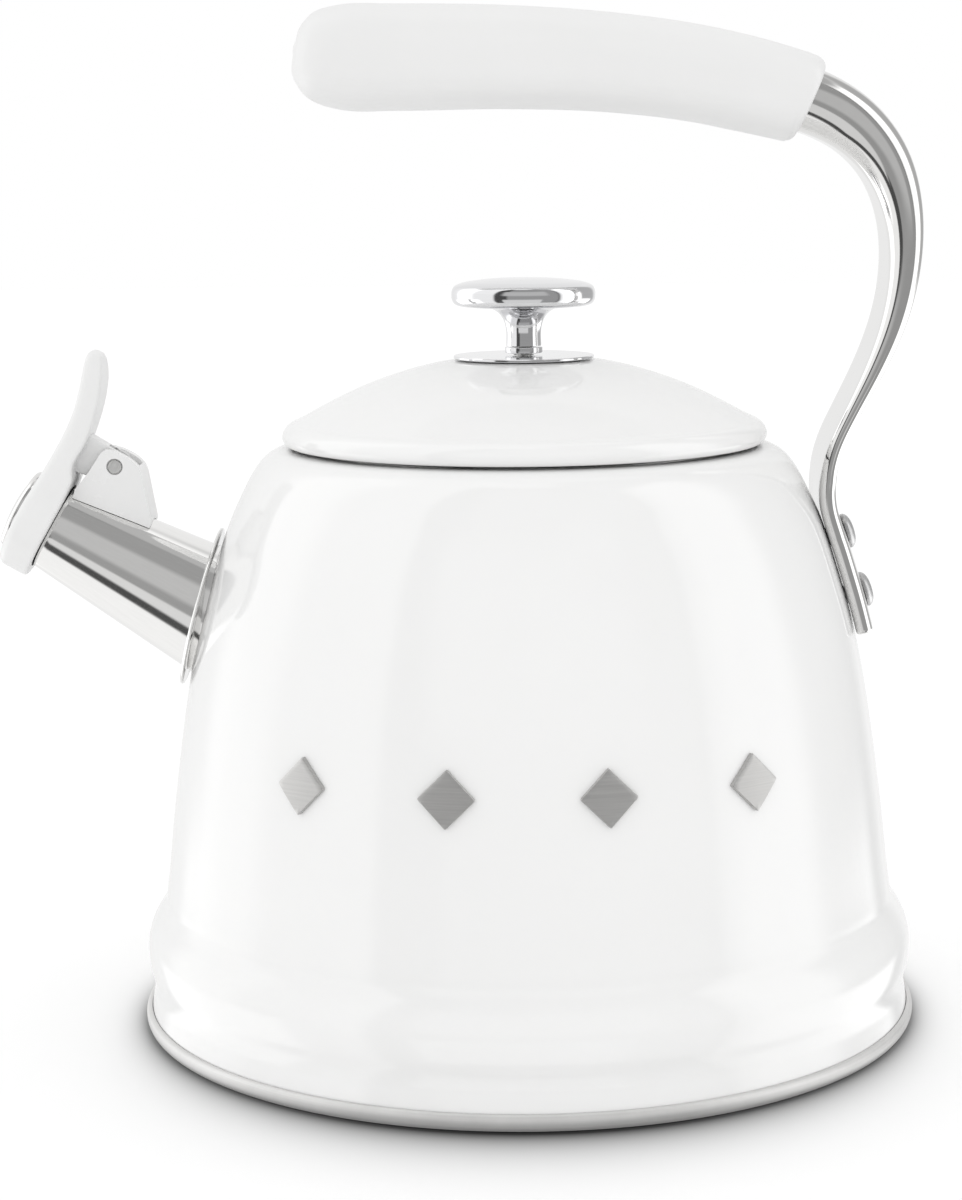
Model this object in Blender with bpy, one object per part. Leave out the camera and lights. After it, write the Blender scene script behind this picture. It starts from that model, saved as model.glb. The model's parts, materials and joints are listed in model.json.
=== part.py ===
"""Stovetop whistling kettle, built piece by piece.

Units are metres, +Z is up and the origin is at the centre of the base, on the surface that the
kettle stands on. The spout points to -X and the handle stands on the +X side.
"""

import math

import bmesh
import bpy
from mathutils import Matrix, Vector
from mathutils.geometry import interpolate_bezier

MM = 0.001
GAP = 0.3 * MM  # between neighbouring pieces
ROUND_STEPS = 36  # segments round the large turned pieces
SMALL_STEPS = 20  # segments round the small ones
SPOUT_STEPS = 32  # segments round the spout and the whistle

# Body: an enamelled shell, given by the outer side of its wall from the base to the shoulder.
WALL = 1.2 * MM
BODY_FLOOR_Z = 3.6 * MM
BODY_FOOT_RADIUS = 97.3 * MM
BODY_FOOT_FILLET = 3.0 * MM
BODY_OUTLINE = [
    (96.5, 13.0), (97.6, 19.5), (97.6, 25.5), (93.6, 30.6), (92.3, 38.0), (90.7, 52.6),
    (88.2, 71.9), (85.1, 91.1), (82.6, 102.6), (79.4, 113.7), (74.7, 127.8), (71.4, 134.9),
    (68.2, 140.8), (65.4, 144.1), (62.2, 145.8),
]
BODY_LIP = [(57.5, 146.3), (54.6, 146.2)]
MOUTH_RADIUS = 53.0 * MM
SHOULDER_Z = 146.3 * MM
MOUTH_NECK_TOP = 1.5 * MM  # below the shoulder
MOUTH_NECK_DEPTH = 6.0 * MM

# Base: a steel cap that holds an aluminium core against the body's floor.
BASE_OUTLINE = [
    (0.0, 0.0), (97.4, 0.0), (98.5, 0.5), (99.0, 1.6), (99.0, 3.4), (98.4, 4.1), (97.6, 4.1),
]
BASE_CAP_FLOOR = 0.9 * MM
CORE_RADIUS = 94.0 * MM

# Lid, from its rolled rim to the flat under the knob's plate.
LID_OUTLINE = [
    (59.8, 147.0), (61.1, 148.7), (60.4, 150.9), (58.2, 152.8), (55.7, 154.0), (51.4, 156.1),
    (41.3, 161.0), (29.2, 165.2), (20.5, 167.2), (16.5, 167.7), (3.0, 167.7),
]
LID_WALL = 1.1 * MM
SKIRT_RADIUS = 51.8 * MM
SKIRT_WALL = 0.8 * MM
SKIRT_BOTTOM_Z = 134.0 * MM
SKIRT_TOP_Z = 152.6 * MM

# Knob and what holds it.
PLATE_RADIUS = 17.7 * MM
PLATE_BOTTOM_Z = 168.0 * MM
PLATE_TOP_Z = 169.0 * MM
PLATE_BORE = 2.6 * MM
COLLAR_RADIUS = 5.6 * MM
COLLAR_TOP_Z = 170.8 * MM
KNOB_OUTLINE = [
    (4.45, 171.1), (4.45, 175.2), (5.0, 177.4), (6.2, 179.2), (8.2, 180.4), (12.0, 181.0),
    (16.2, 181.3), (17.7, 182.3), (18.1, 183.8), (17.7, 185.4), (16.0, 186.6), (12.0, 187.5),
    (6.0, 187.9),
]
KNOB_TOP_Z = 188.0 * MM
SCREW_RADIUS = 2.0 * MM
SCREW_TIP_Z = 178.0 * MM
SCREW_HEAD_RADIUS = 4.0 * MM
SCREW_HEAD_HEIGHT = 2.2 * MM
SCREW_CHAMFER = 0.6 * MM
WASHER_RADIUS = 7.0 * MM
WASHER_BORE = 2.4 * MM
WASHER_THICKNESS = 1.0 * MM

# Spout: a tapered tube whose axis rises from the body. The mouth frame below has its origin at
# the mouth's centre, +Z out along the spout and +X up along the mouth's face.
SPOUT_RISE = math.radians(29.2)
MOUTH_CENTRE = Vector((-120.6, 0.0, 127.0)) * MM
SPOUT_END = -1.1 * MM
SPOUT_ROOT = -56.0 * MM
SPOUT_MOUTH_RADIUS = 11.2 * MM
SPOUT_TAPER = 0.105  # growth of the radius per length towards the body
SPOUT_WALL = 1.0 * MM
SPOUT_PORT_RADIUS = 14.0 * MM
SPOUT_PORT_END = -25.0 * MM

# Collar: a flat ring round the spout's root, lying against the body at this height.
COLLAR_RING_Z = 105.3 * MM
COLLAR_RING_LEAN = math.radians(15.2)
COLLAR_RING_RADIUS = 20.6 * MM
COLLAR_RING_THICKNESS = 1.2 * MM

# Flap, hinge and bracket, as (out along the spout, up along the mouth's face) in the mouth frame.
HINGE_OUT = -8.1 * MM
HINGE_UP = 21.7 * MM
FLAP_RADIUS = 14.6 * MM
FLAP_SIDE = [
    (1.4, -14.8), (1.4, 14.8), (0.9, 16.4), (1.0, 23.6), (1.5, 27.6), (3.1, 34.8), (5.0, 39.8),
    (7.0, 43.2), (8.9, 44.8), (10.5, 44.1), (11.0, 42.0), (10.4, 40.0), (8.8, 34.6), (7.5, 28.6),
    (7.0, 21.6), (7.1, 12.0), (7.4, 6.0), (7.4, -11.8), (6.7, -13.8), (5.4, -14.8),
]
LEVER_HALF_WIDTH = 7.2 * MM
LEVER_FROM_UP = 27.0 * MM
LEVER_TOP_UP = 46.0 * MM
CHAMBER_RADIUS = 7.0 * MM
RECESS_FLOOR_OUT = 6.8 * MM
FACE_DISC_RADIUS = 10.4 * MM
FACE_DISC_RIM_OUT = 7.1 * MM
FACE_DISC_DOME = 1.2 * MM
FACE_DISC_THICKNESS = 0.6 * MM
BACK_PLATE_OUT = (0.6, 1.1)
SEAL_OUT = (-0.8, 0.3)
SEAL_BORE = 7.4 * MM
STEAM_HOLE_RADIUS = 1.0 * MM
LUG_HALF_WIDTH = 2.8 * MM
LUG_ROOT_UP = (14.8, 25.2)
LUG_RADIUS = 3.2 * MM
BRACKET_HALF_WIDTH = 6.5 * MM
BRACKET_OUTLINE = [
    (-3.2, 6.0), (-2.0, 11.8), (-3.0, 17.3), (-3.5, 23.6), (-4.4, 24.6), (-8.0, 25.2),
    (-11.3, 25.1), (-13.6, 24.4), (-15.0, 23.2), (-22.6, 13.8), (-23.0, 12.8), (-22.4, 6.0),
]
BRACKET_FLOOR_UP = 13.6 * MM
BRACKET_BACK_OUT = -13.2 * MM
CHEEK_GAP = 0.4 * MM
PIN_RADIUS = 1.2 * MM
PIN_HEAD_RADIUS = 1.75 * MM
PIN_BORE_RADIUS = 1.5 * MM
PIN_HEAD_LENGTH = 0.7 * MM
SPRING_WIRE = 0.7 * MM
SPRING_RADIUS = 2.2 * MM
SPRING_TURNS = 2
SPRING_LEG = 4.8 * MM
SPRING_SLOT_HALF = 1.4 * MM
SPRING_SLOT_RADIUS = 5.2 * MM

# Handle bar: a tube pressed flat towards its foot. The foot follows the body up through these
# heights, and the line above it is (x, z, thickness) up to the end inside the grip.
TUBE_DIAMETER = 20.5 * MM
TUBE_WALL = 1.5 * MM
FOOT_THICKNESS = 4.2 * MM
FOOT_GAP = 0.4 * MM
FOOT_HEIGHTS = [99.5, 107.0, 115.2, 123.2, 130.6]
BAR_LINE = [
    (75.4, 137.6, 4.0), (76.9, 145.2, 3.8), (81.2, 154.4, 3.9), (86.8, 165.2, 4.9),
    (91.7, 177.2, 6.4), (94.3, 190.2, 7.8), (93.9, 203.8, 9.8), (89.8, 216.0, 12.4),
    (81.9, 225.2, 14.6), (71.4, 231.0, 16.0), (56.0, 235.0, 16.0), (30.0, 239.0, 15.0),
    (4.0, 241.1, 14.0), (-38.0, 242.2, 13.0),
]
BORE_FROM = 9  # the tube is open inside from this point of its middle line upwards
FOOT_WRAP_RADIUS = 84.0 * MM  # roundness of the foot across its width, as the body behind it

# Grip, as (x, z, height, half width) along its middle line, and rounded at its free end.
GRIP_LINE = [
    (70.8, 230.7, 19.0, 14.4), (67.9, 232.0, 22.4, 16.4), (58.0, 234.6, 23.2, 16.9),
    (43.6, 237.8, 23.6, 17.0), (22.0, 240.7, 24.2, 17.0), (-4.0, 242.2, 25.2, 17.0),
    (-32.0, 242.4, 26.0, 17.0), (-43.6, 242.5, 25.8, 16.6), (-50.6, 242.8, 22.4, 14.6),
    (-54.6, 243.1, 15.2, 10.2), (-56.1, 243.3, 6.2, 4.2),
]
GRIP_BORE_END = -40.0 * MM
GRIP_SQUARENESS = 0.72  # 1 is an ellipse, and smaller is squarer

# Rivets through the bar's foot.
RIVET_HEIGHTS = {"rivet_upper": 122.6 * MM, "rivet_lower": 107.6 * MM}
RIVET_HEAD_RADIUS = 4.5 * MM
RIVET_HEAD_HEIGHT = 2.3 * MM
RIVET_SHANK_RADIUS = 2.4 * MM
RIVET_WASHER_RADIUS = 4.6 * MM
RIVET_WASHER_THICKNESS = 0.9 * MM
FOOT_LEAN = math.radians(17.4)  # slope of the body behind the foot

# Ornaments on the front: four lozenges.
ORNAMENT_ANGLES = [-36.4, -12.1, 12.1, 36.4]
ORNAMENT_Z = 74.6 * MM
ORNAMENT_HALF_WIDTH = 6.8 * MM
ORNAMENT_HALF_HEIGHT = 6.8 * MM
ORNAMENT_THICKNESS = 1.1 * MM
ORNAMENT_LEAN = math.radians(8.6)


# ---------------------------------------------------------------- scene and materials

def clear_scene():
    for obj in list(bpy.data.objects):
        bpy.data.objects.remove(obj, do_unlink=True)


def material(name, colour, roughness, metallic):
    made = bpy.data.materials.get(name) or bpy.data.materials.new(name)
    made.use_nodes = True
    shader = made.node_tree.nodes["Principled BSDF"]
    shader.inputs["Base Color"].default_value = (*colour, 1.0)
    shader.inputs["Roughness"].default_value = roughness
    shader.inputs["Metallic"].default_value = metallic
    return made


def enamel(name):
    return material(name, (0.84, 0.84, 0.83), 0.12, 0.0)


def polished_steel(name):
    return material(name, (0.72, 0.72, 0.71), 0.12, 1.0)


def brushed_steel(name):
    return material(name, (0.62, 0.62, 0.61), 0.34, 1.0)


def white_plastic(name):
    return material(name, (0.80, 0.80, 0.79), 0.42, 0.0)


def empty(name, place, turn=0.0):
    """A helper that pieces are parented to, turned about Y."""
    made = bpy.data.objects.new(name, None)
    made.location = place
    made.rotation_euler = (0.0, turn, 0.0)
    bpy.context.scene.collection.objects.link(made)
    return made


def piece(name, mesh, surface, parent=None):
    made = bpy.data.objects.new(name, mesh)
    bpy.context.scene.collection.objects.link(made)
    mesh.materials.append(surface(f"{name}_material"))
    made.parent = parent
    return made


def helper(name, mesh, parent=None):
    """A solid that only cuts, joins or bounds other pieces."""
    made = bpy.data.objects.new(name, mesh)
    bpy.context.scene.collection.objects.link(made)
    made.parent = parent
    made.hide_render = True
    made.display_type = "WIRE"
    return made


def boolean(target, operation, other):
    modifier = target.modifiers.new(f"{operation.lower()}_{other.name}", "BOOLEAN")
    modifier.operation = operation
    modifier.solver = "EXACT"
    modifier.object = other


# ---------------------------------------------------------------- outlines

def scaled(points):
    return [Vector(point) * MM for point in points]


def smooth(points, steps):
    """Points of a curve that passes through these, with steps spans between each pair."""
    last = len(points) - 1
    slopes = [(points[min(i + 1, last)] - points[max(i - 1, 0)]) / 6 for i in range(last + 1)]
    slopes[0] = slopes[0] * 2
    slopes[last] = slopes[last] * 2
    curve = [points[0]]
    for i in range(last):
        start, end = points[i].to_3d(), points[i + 1].to_3d()
        near, far = start + slopes[i].to_3d(), end - slopes[i + 1].to_3d()
        size = len(points[i])
        span = interpolate_bezier(start, near, far, end, steps + 1)[1:]
        curve += [Vector(point[:size]) for point in span]
    return curve


def normals(outline):
    """The right-hand normal of an open outline at each of its points."""
    last = len(outline) - 1
    found = []
    for i in range(last + 1):
        along = (outline[min(i + 1, last)] - outline[max(i - 1, 0)]).normalized()
        found.append(Vector((along.y, -along.x)))
    return found


def thickened(outline, wall):
    """The closed outline of a wall whose right-hand side is this one."""
    inner = [point - normal * wall for point, normal in zip(outline, normals(outline))]
    return outline + inner[::-1]


# ---------------------------------------------------------------- solids

def mesh_of(name, bm):
    bmesh.ops.remove_doubles(bm, verts=bm.verts, dist=1e-7)
    bmesh.ops.recalc_face_normals(bm, faces=bm.faces)
    mesh = bpy.data.meshes.new(name)
    bm.to_mesh(mesh)
    bm.free()
    mesh.shade_smooth()
    mesh.set_sharp_from_angle(angle=math.radians(35))
    return mesh


def turned(name, outline, steps=ROUND_STEPS, closed=True):
    """A solid of revolution about Z. An outline that isn't closed starts and ends on the axis."""
    bm = bmesh.new()
    verts = [bm.verts.new((point[0], 0.0, point[1])) for point in outline]
    pairs = zip(verts, verts[1:] + verts[:1]) if closed else zip(verts, verts[1:])
    edges = [bm.edges.new(pair) for pair in pairs]
    bmesh.ops.spin(
        bm, geom=verts + edges, cent=(0, 0, 0), axis=(0, 0, 1),
        angle=math.tau, steps=steps, use_merge=True,
    )
    return mesh_of(name, bm)


def disc(name, radius, bottom, top, steps=ROUND_STEPS):
    outline = [(0.0, bottom), (radius, bottom), (radius, top), (0.0, top)]
    return turned(name, outline, steps, closed=False)


def tube(name, inner, outer, bottom, top, steps=SMALL_STEPS):
    return turned(name, [(inner, bottom), (outer, bottom), (outer, top), (inner, top)], steps)


def prism(name, corners, low, high, place):
    """A plate of this outline, from low to high. place turns (a, b, height) into a point."""
    bm = bmesh.new()
    base = bm.faces.new([bm.verts.new(place(a, b, low)) for a, b in corners])
    grown = bmesh.ops.extrude_face_region(bm, geom=[base])
    lift = place(0, 0, high) - place(0, 0, low)
    moved = [item for item in grown["geom"] if isinstance(item, bmesh.types.BMVert)]
    bmesh.ops.translate(bm, verts=moved, vec=lift)
    return mesh_of(name, bm)


def side_plate(name, corners, half_width):
    """A plate given by its side view, as (out, up) in the mouth frame."""
    return prism(
        name, scaled(corners), -half_width, half_width, lambda out, up, y: Vector((up, y, out))
    )


def loft(name, rings):
    """Closed rings joined in turn, with a cap on the first and the last."""
    bm = bmesh.new()
    loops = [[bm.verts.new(point) for point in ring] for ring in rings]
    count = len(rings[0])
    for first, second in zip(loops, loops[1:]):
        for i in range(count):
            j = (i + 1) % count
            bm.faces.new((first[i], first[j], second[j], second[i]))
    bm.faces.new(loops[0][::-1])
    bm.faces.new(loops[-1])
    return mesh_of(name, bm)


def across(mesh):
    """Turns a mesh made about Z so that it lies along Y."""
    mesh.transform(Matrix.Rotation(math.radians(90), 4, "X"))
    return mesh


def shifted(mesh, offset):
    mesh.transform(Matrix.Translation(offset))
    return mesh


# ---------------------------------------------------------------- body and base

def body_outer():
    """The body's outer side, from the centre of its floor to the lip of its mouth."""
    corner = [
        Vector((
            BODY_FOOT_RADIUS - BODY_FOOT_FILLET * (1 - math.sin(turn)),
            BODY_FLOOR_Z + BODY_FOOT_FILLET * (1 - math.cos(turn)),
        ))
        for turn in (0.0, math.radians(30), math.radians(60), math.radians(90))
    ]
    return [Vector((0.0, BODY_FLOOR_Z)), *corner, *scaled(BODY_OUTLINE + BODY_LIP)]


def body_radius(height):
    """The body's outer radius at a height on its wall."""
    wall = scaled(BODY_OUTLINE)
    for below, above in zip(wall, wall[1:]):
        if below.y <= height <= above.y:
            return below.x + (above.x - below.x) * (height - below.y) / (above.y - below.y)
    raise ValueError(f"no wall at {height}")


def body_outline():
    outer = body_outer()
    neck = [
        Vector((MOUTH_RADIUS, SHOULDER_Z - MOUTH_NECK_TOP)),
        Vector((MOUTH_RADIUS, SHOULDER_Z - MOUTH_NECK_DEPTH)),
    ]
    side = outer[1:] + neck
    inner = [point - normal * WALL for point, normal in zip(side, normals(side))]
    inner[0].y = BODY_FLOOR_Z + WALL
    inner_centre = Vector((0.0, BODY_FLOOR_Z + WALL))
    return [outer[0], *side, *inner[::-1], inner_centre]


def body_skin(name, offset):
    """The body's outer side moved outwards, as a solid up to the shoulder."""
    side = body_outer()[1:]
    grown = [point + normal * offset for point, normal in zip(side, normals(side))]
    grown[0].x = 0.0
    grown[-1].x = 0.0
    return helper(name, turned(name, grown, closed=False))


def body_shell(spout):
    shell = piece("body_shell", turned("body_shell", body_outline(), closed=False), enamel)
    port = disc("spout_port", SPOUT_PORT_RADIUS, SPOUT_ROOT, SPOUT_PORT_END, SMALL_STEPS)
    boolean(shell, "DIFFERENCE", helper("spout_port", port, spout))
    return shell


def base():
    cap = scaled(BASE_OUTLINE)
    cap += [Vector((cap[-1].x, BASE_CAP_FLOOR)), Vector((0.0, BASE_CAP_FLOOR))]
    piece("base_cap", turned("base_cap", cap, closed=False), brushed_steel)
    core = disc("base_core", CORE_RADIUS, BASE_CAP_FLOOR + GAP, BODY_FLOOR_Z - GAP)
    piece("base_core", core, brushed_steel)


def ornaments():
    height, width = ORNAMENT_HALF_HEIGHT, ORNAMENT_HALF_WIDTH
    corners = [(-width, 0.0), (0.0, -height), (width, 0.0), (0.0, height)]
    radius = body_radius(ORNAMENT_Z)
    stand_off = radius + GAP + width * width / (2 * radius)
    for number, degrees in enumerate(ORNAMENT_ANGLES, 1):
        mesh = prism(
            f"ornament_{number}", corners, 0.0, ORNAMENT_THICKNESS,
            lambda x, z, out: Vector((x, -out, z)),
        )
        mesh.transform(Matrix.Rotation(-ORNAMENT_LEAN, 4, "X"))
        made = piece(f"ornament_{number}", mesh, brushed_steel)
        turn = Matrix.Rotation(math.radians(degrees), 4, "Z")
        made.location = turn @ Vector((0.0, -stand_off, ORNAMENT_Z))
        made.rotation_euler = (0.0, 0.0, math.radians(degrees))


# ---------------------------------------------------------------- lid and knob

def lid(seat):
    """The lid's pieces, which lift off together. They hang on the empty at the mouth."""
    down = Vector((0.0, 0.0, -SHOULDER_Z))
    dome = turned("lid_shell", thickened(scaled(LID_OUTLINE), LID_WALL))
    piece("lid_shell", shifted(dome, down), enamel, seat)
    skirt_inner = SKIRT_RADIUS - SKIRT_WALL
    skirt = tube(
        "lid_skirt", skirt_inner, SKIRT_RADIUS, SKIRT_BOTTOM_Z, SKIRT_TOP_Z, ROUND_STEPS
    )
    piece("lid_skirt", shifted(skirt, down), brushed_steel, seat)
    plate = tube("knob_plate", PLATE_BORE, PLATE_RADIUS, PLATE_BOTTOM_Z, PLATE_TOP_Z, ROUND_STEPS)
    piece("knob_plate", shifted(plate, down), polished_steel, seat)
    collar = tube("knob_collar", PLATE_BORE, COLLAR_RADIUS, PLATE_TOP_Z + GAP, COLLAR_TOP_Z)
    piece("knob_collar", shifted(collar, down), polished_steel, seat)
    knob(seat, down)


def knob(seat, down):
    bore_top = SCREW_TIP_Z + 2 * GAP
    bore = SCREW_RADIUS + GAP
    foot_z = COLLAR_TOP_Z + GAP
    outline = [
        Vector((0.0, bore_top)), Vector((bore, bore_top)), Vector((bore, foot_z)),
        *scaled(KNOB_OUTLINE), Vector((0.0, KNOB_TOP_Z)),
    ]
    turned_knob = turned("knob", outline, closed=False)
    piece("knob", shifted(turned_knob, down), polished_steel, seat)
    underside = LID_OUTLINE[-1][1] * MM - LID_WALL
    washer_top = underside - GAP
    washer_bottom = washer_top - WASHER_THICKNESS
    washer = tube("knob_washer", WASHER_BORE, WASHER_RADIUS, washer_bottom, washer_top)
    piece("knob_washer", shifted(washer, down), brushed_steel, seat)
    head_top = washer_bottom - GAP
    screw = turned("knob_screw", [
        (0.0, head_top - SCREW_HEAD_HEIGHT),
        (SCREW_HEAD_RADIUS * 0.7, head_top - SCREW_HEAD_HEIGHT * 0.9),
        (SCREW_HEAD_RADIUS, head_top - SCREW_HEAD_HEIGHT * 0.4), (SCREW_HEAD_RADIUS, head_top),
        (SCREW_RADIUS, head_top), (SCREW_RADIUS, SCREW_TIP_Z - SCREW_CHAMFER),
        (SCREW_RADIUS - SCREW_CHAMFER, SCREW_TIP_Z), (0.0, SCREW_TIP_Z),
    ], SMALL_STEPS, closed=False)
    piece("knob_screw", shifted(screw, down), brushed_steel, seat)


# ---------------------------------------------------------------- spout

def spout_radius(out):
    return SPOUT_MOUTH_RADIUS - SPOUT_TAPER * out


def spout_tube(spout):
    ends = (SPOUT_ROOT, SPOUT_END)
    outline = [Vector((spout_radius(out), out)) for out in ends]
    outline += [Vector((spout_radius(out) - SPOUT_WALL, out)) for out in ends[::-1]]
    made = piece("spout_tube", turned("spout_tube", outline, SPOUT_STEPS), polished_steel, spout)
    boolean(made, "DIFFERENCE", body_skin("body_skin", GAP))
    return made


def spout_core(name, start, end, spout):
    """The spout with a gap round it, as a solid between two places along its axis."""
    grown = [Vector((spout_radius(out) + GAP, out)) for out in (start, end)]
    outline = [Vector((0.0, start)), *grown, Vector((0.0, end))]
    return helper(name, turned(name, outline, SPOUT_STEPS, closed=False), spout)


def spout_collar(spout):
    """A flat ring round the spout's root. The body curves away from it on all sides."""
    place = Vector((-body_radius(COLLAR_RING_Z), 0.0, COLLAR_RING_Z))
    seat = empty("collar_frame", place, COLLAR_RING_LEAN - math.radians(90))
    ring = disc("spout_collar", COLLAR_RING_RADIUS, GAP, GAP + COLLAR_RING_THICKNESS, 40)
    made = piece("spout_collar", ring, polished_steel, seat)
    boolean(made, "DIFFERENCE", spout_core("collar_bore", SPOUT_ROOT, -20 * MM, spout))


def hinge_bore(name, radius, half_length, parent, offset):
    bore = across(disc(name, radius, -half_length, half_length, SMALL_STEPS))
    return helper(name, shifted(bore, offset), parent)


def spout_bracket(spout):
    """Two cheeks on a saddle that follows the top of the spout."""
    mesh = side_plate("spout_bracket", BRACKET_OUTLINE, BRACKET_HALF_WIDTH)
    made = piece("spout_bracket", mesh, white_plastic, spout)
    slot_half = LUG_HALF_WIDTH + CHEEK_GAP
    floor, back = BRACKET_FLOOR_UP / MM, BRACKET_BACK_OUT / MM
    slot = side_plate("bracket_slot", [(0, floor), (0, 34), (back, 34), (back, floor)], slot_half)
    boolean(made, "DIFFERENCE", helper("bracket_slot", slot, spout))
    boolean(made, "DIFFERENCE", spout_core("bracket_saddle", -30 * MM, 5 * MM, spout))
    hinge = Vector((HINGE_UP, 0.0, HINGE_OUT))
    boolean(made, "DIFFERENCE", hinge_bore("bracket_bore", PIN_BORE_RADIUS, 9 * MM, spout, hinge))
    for side in (-1, 1):
        sink = Vector((HINGE_UP, side * BRACKET_HALF_WIDTH, HINGE_OUT))
        name = "bracket_sink_near" if side < 0 else "bracket_sink_far"
        cutter = hinge_bore(name, PIN_HEAD_RADIUS + GAP, PIN_HEAD_LENGTH + GAP, spout, sink)
        boolean(made, "DIFFERENCE", cutter)


def hinge_pin(hinge):
    """The pin, with a flat head in each cheek's recess."""
    end = BRACKET_HALF_WIDTH - 0.1 * MM
    neck = end - PIN_HEAD_LENGTH
    pin = turned("hinge_pin", [
        (0.0, -end), (PIN_HEAD_RADIUS, -end), (PIN_HEAD_RADIUS, -neck), (PIN_RADIUS, -neck),
        (PIN_RADIUS, neck), (PIN_HEAD_RADIUS, neck), (PIN_HEAD_RADIUS, end), (0.0, end),
    ], SMALL_STEPS, closed=False)
    piece("hinge_pin", across(pin), polished_steel, hinge)


def flap_spring(hinge):
    """A torsion spring round the pin. Its legs lie in the slot of the flap's lug."""
    steps = 14
    pitch = SPRING_WIRE * 1.15
    count = SPRING_TURNS * steps
    low = -pitch * SPRING_TURNS / 2
    points = []
    for i in range(count + 1):
        turn = math.tau * i / steps
        height = low + pitch * i / steps
        points.append((SPRING_RADIUS * math.sin(turn), height, SPRING_RADIUS * math.cos(turn)))
    points.insert(0, (-SPRING_LEG, points[0][1], points[0][2]))
    points.append((SPRING_LEG * 0.9, points[-1][1], points[-1][2]))
    line = bpy.data.curves.new("flap_spring", "CURVE")
    line.dimensions = "3D"
    line.bevel_depth = SPRING_WIRE / 2
    line.bevel_resolution = 1
    line.use_fill_caps = True
    spline = line.splines.new("POLY")
    spline.points.add(len(points) - 1)
    for target, point in zip(spline.points, points):
        target.co = (*point, 1.0)
    made = bpy.data.objects.new("flap_spring", line)
    bpy.context.scene.collection.objects.link(made)
    line.materials.append(polished_steel("flap_spring_material"))
    made.parent = hinge


def flap_plan():
    """The flap seen along the spout: a round cap that narrows to the lever."""
    start = math.radians(52)
    turns = 22
    corners = []
    for i in range(turns + 1):
        turn = start + (math.tau - 2 * start) * i / turns
        corners.append((FLAP_RADIUS * math.cos(turn), FLAP_RADIUS * math.sin(turn)))
    top = LEVER_TOP_UP
    lever = [
        (LEVER_FROM_UP, -LEVER_HALF_WIDTH), (top - 4 * MM, -LEVER_HALF_WIDTH),
        (top - 1.5 * MM, -LEVER_HALF_WIDTH * 0.85), (top, -LEVER_HALF_WIDTH * 0.5),
        (top, LEVER_HALF_WIDTH * 0.5), (top - 1.5 * MM, LEVER_HALF_WIDTH * 0.85),
        (top - 4 * MM, LEVER_HALF_WIDTH), (LEVER_FROM_UP, LEVER_HALF_WIDTH),
    ]
    return corners + lever


def lug_outline():
    """The lug seen from the side: a web from the flap that ends in a round eye at the pin."""
    eye = []
    for i in range(11):
        turn = math.radians(-80 - 18 * i)
        out = HINGE_OUT + LUG_RADIUS * math.cos(turn)
        eye.append((out / MM, (HINGE_UP + LUG_RADIUS * math.sin(turn)) / MM))
    return [(2.2, LUG_ROOT_UP[0]), (-2.9, LUG_ROOT_UP[0] + 1.0), *eye, (2.2, LUG_ROOT_UP[1])]


def whistle_flap(hinge):
    """Cap, thumb lever and hinge lug in one, with the whistle's chamber through the cap."""
    offset = -Vector((HINGE_UP, 0.0, HINGE_OUT))
    side = shifted(side_plate("whistle_flap", FLAP_SIDE, 20 * MM), offset)
    made = piece("whistle_flap", side, white_plastic, hinge)
    plan = prism("flap_plan", flap_plan(), -5 * MM, 20 * MM, lambda up, y, out: Vector((up, y, out)))
    boolean(made, "INTERSECT", helper("flap_plan", shifted(plan, offset), hinge))
    lug = side_plate("flap_lug", lug_outline(), LUG_HALF_WIDTH)
    boolean(made, "UNION", helper("flap_lug", shifted(lug, offset), hinge))
    bore = across(disc("flap_bore", PIN_BORE_RADIUS, -9 * MM, 9 * MM, SMALL_STEPS))
    boolean(made, "DIFFERENCE", helper("flap_bore", bore, hinge))
    slot = disc("flap_slot", SPRING_SLOT_RADIUS, -SPRING_SLOT_HALF, SPRING_SLOT_HALF, SMALL_STEPS)
    boolean(made, "DIFFERENCE", helper("flap_slot", across(slot), hinge))
    chamber = disc("flap_chamber", CHAMBER_RADIUS, -3 * MM, 12 * MM, SMALL_STEPS)
    boolean(made, "DIFFERENCE", helper("flap_chamber", shifted(chamber, offset), hinge))
    recess = disc(
        "flap_recess", FACE_DISC_RADIUS + GAP, RECESS_FLOOR_OUT, 12 * MM, SPOUT_STEPS
    )
    boolean(made, "DIFFERENCE", helper("flap_recess", shifted(recess, offset), hinge))


def whistle_discs(hinge):
    """The whistle's two plates, each with a steam hole, and the seal against the mouth."""
    offset = -Vector((HINGE_UP, 0.0, HINGE_OUT))
    hole = STEAM_HOLE_RADIUS
    rim = FACE_DISC_RADIUS
    dome = [
        Vector((radius, FACE_DISC_RIM_OUT + FACE_DISC_DOME * (1 - (radius / rim) ** 2)))
        for radius in (hole, rim * 0.6, rim)
    ]
    lift = Vector((0.0, FACE_DISC_THICKNESS))
    face = turned(
        "whistle_face_disc", dome + [point + lift for point in dome[::-1]], SPOUT_STEPS
    )
    piece("whistle_face_disc", shifted(face, offset), polished_steel, hinge)
    low, high = (out * MM for out in BACK_PLATE_OUT)
    back = tube("whistle_back_plate", hole, FLAP_RADIUS - 0.2 * MM, low, high, SPOUT_STEPS)
    piece("whistle_back_plate", shifted(back, offset), polished_steel, hinge)
    low, high = (out * MM for out in SEAL_OUT)
    edge = SPOUT_MOUTH_RADIUS + GAP
    seal = tube("whistle_seal", SEAL_BORE, edge, low, high, SPOUT_STEPS)
    rubber = piece("whistle_seal", shifted(seal, offset), white_plastic, hinge)
    shader = rubber.active_material.node_tree.nodes["Principled BSDF"]
    shader.inputs["Base Color"].default_value = (0.03, 0.03, 0.03, 1.0)


# ---------------------------------------------------------------- handle

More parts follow.
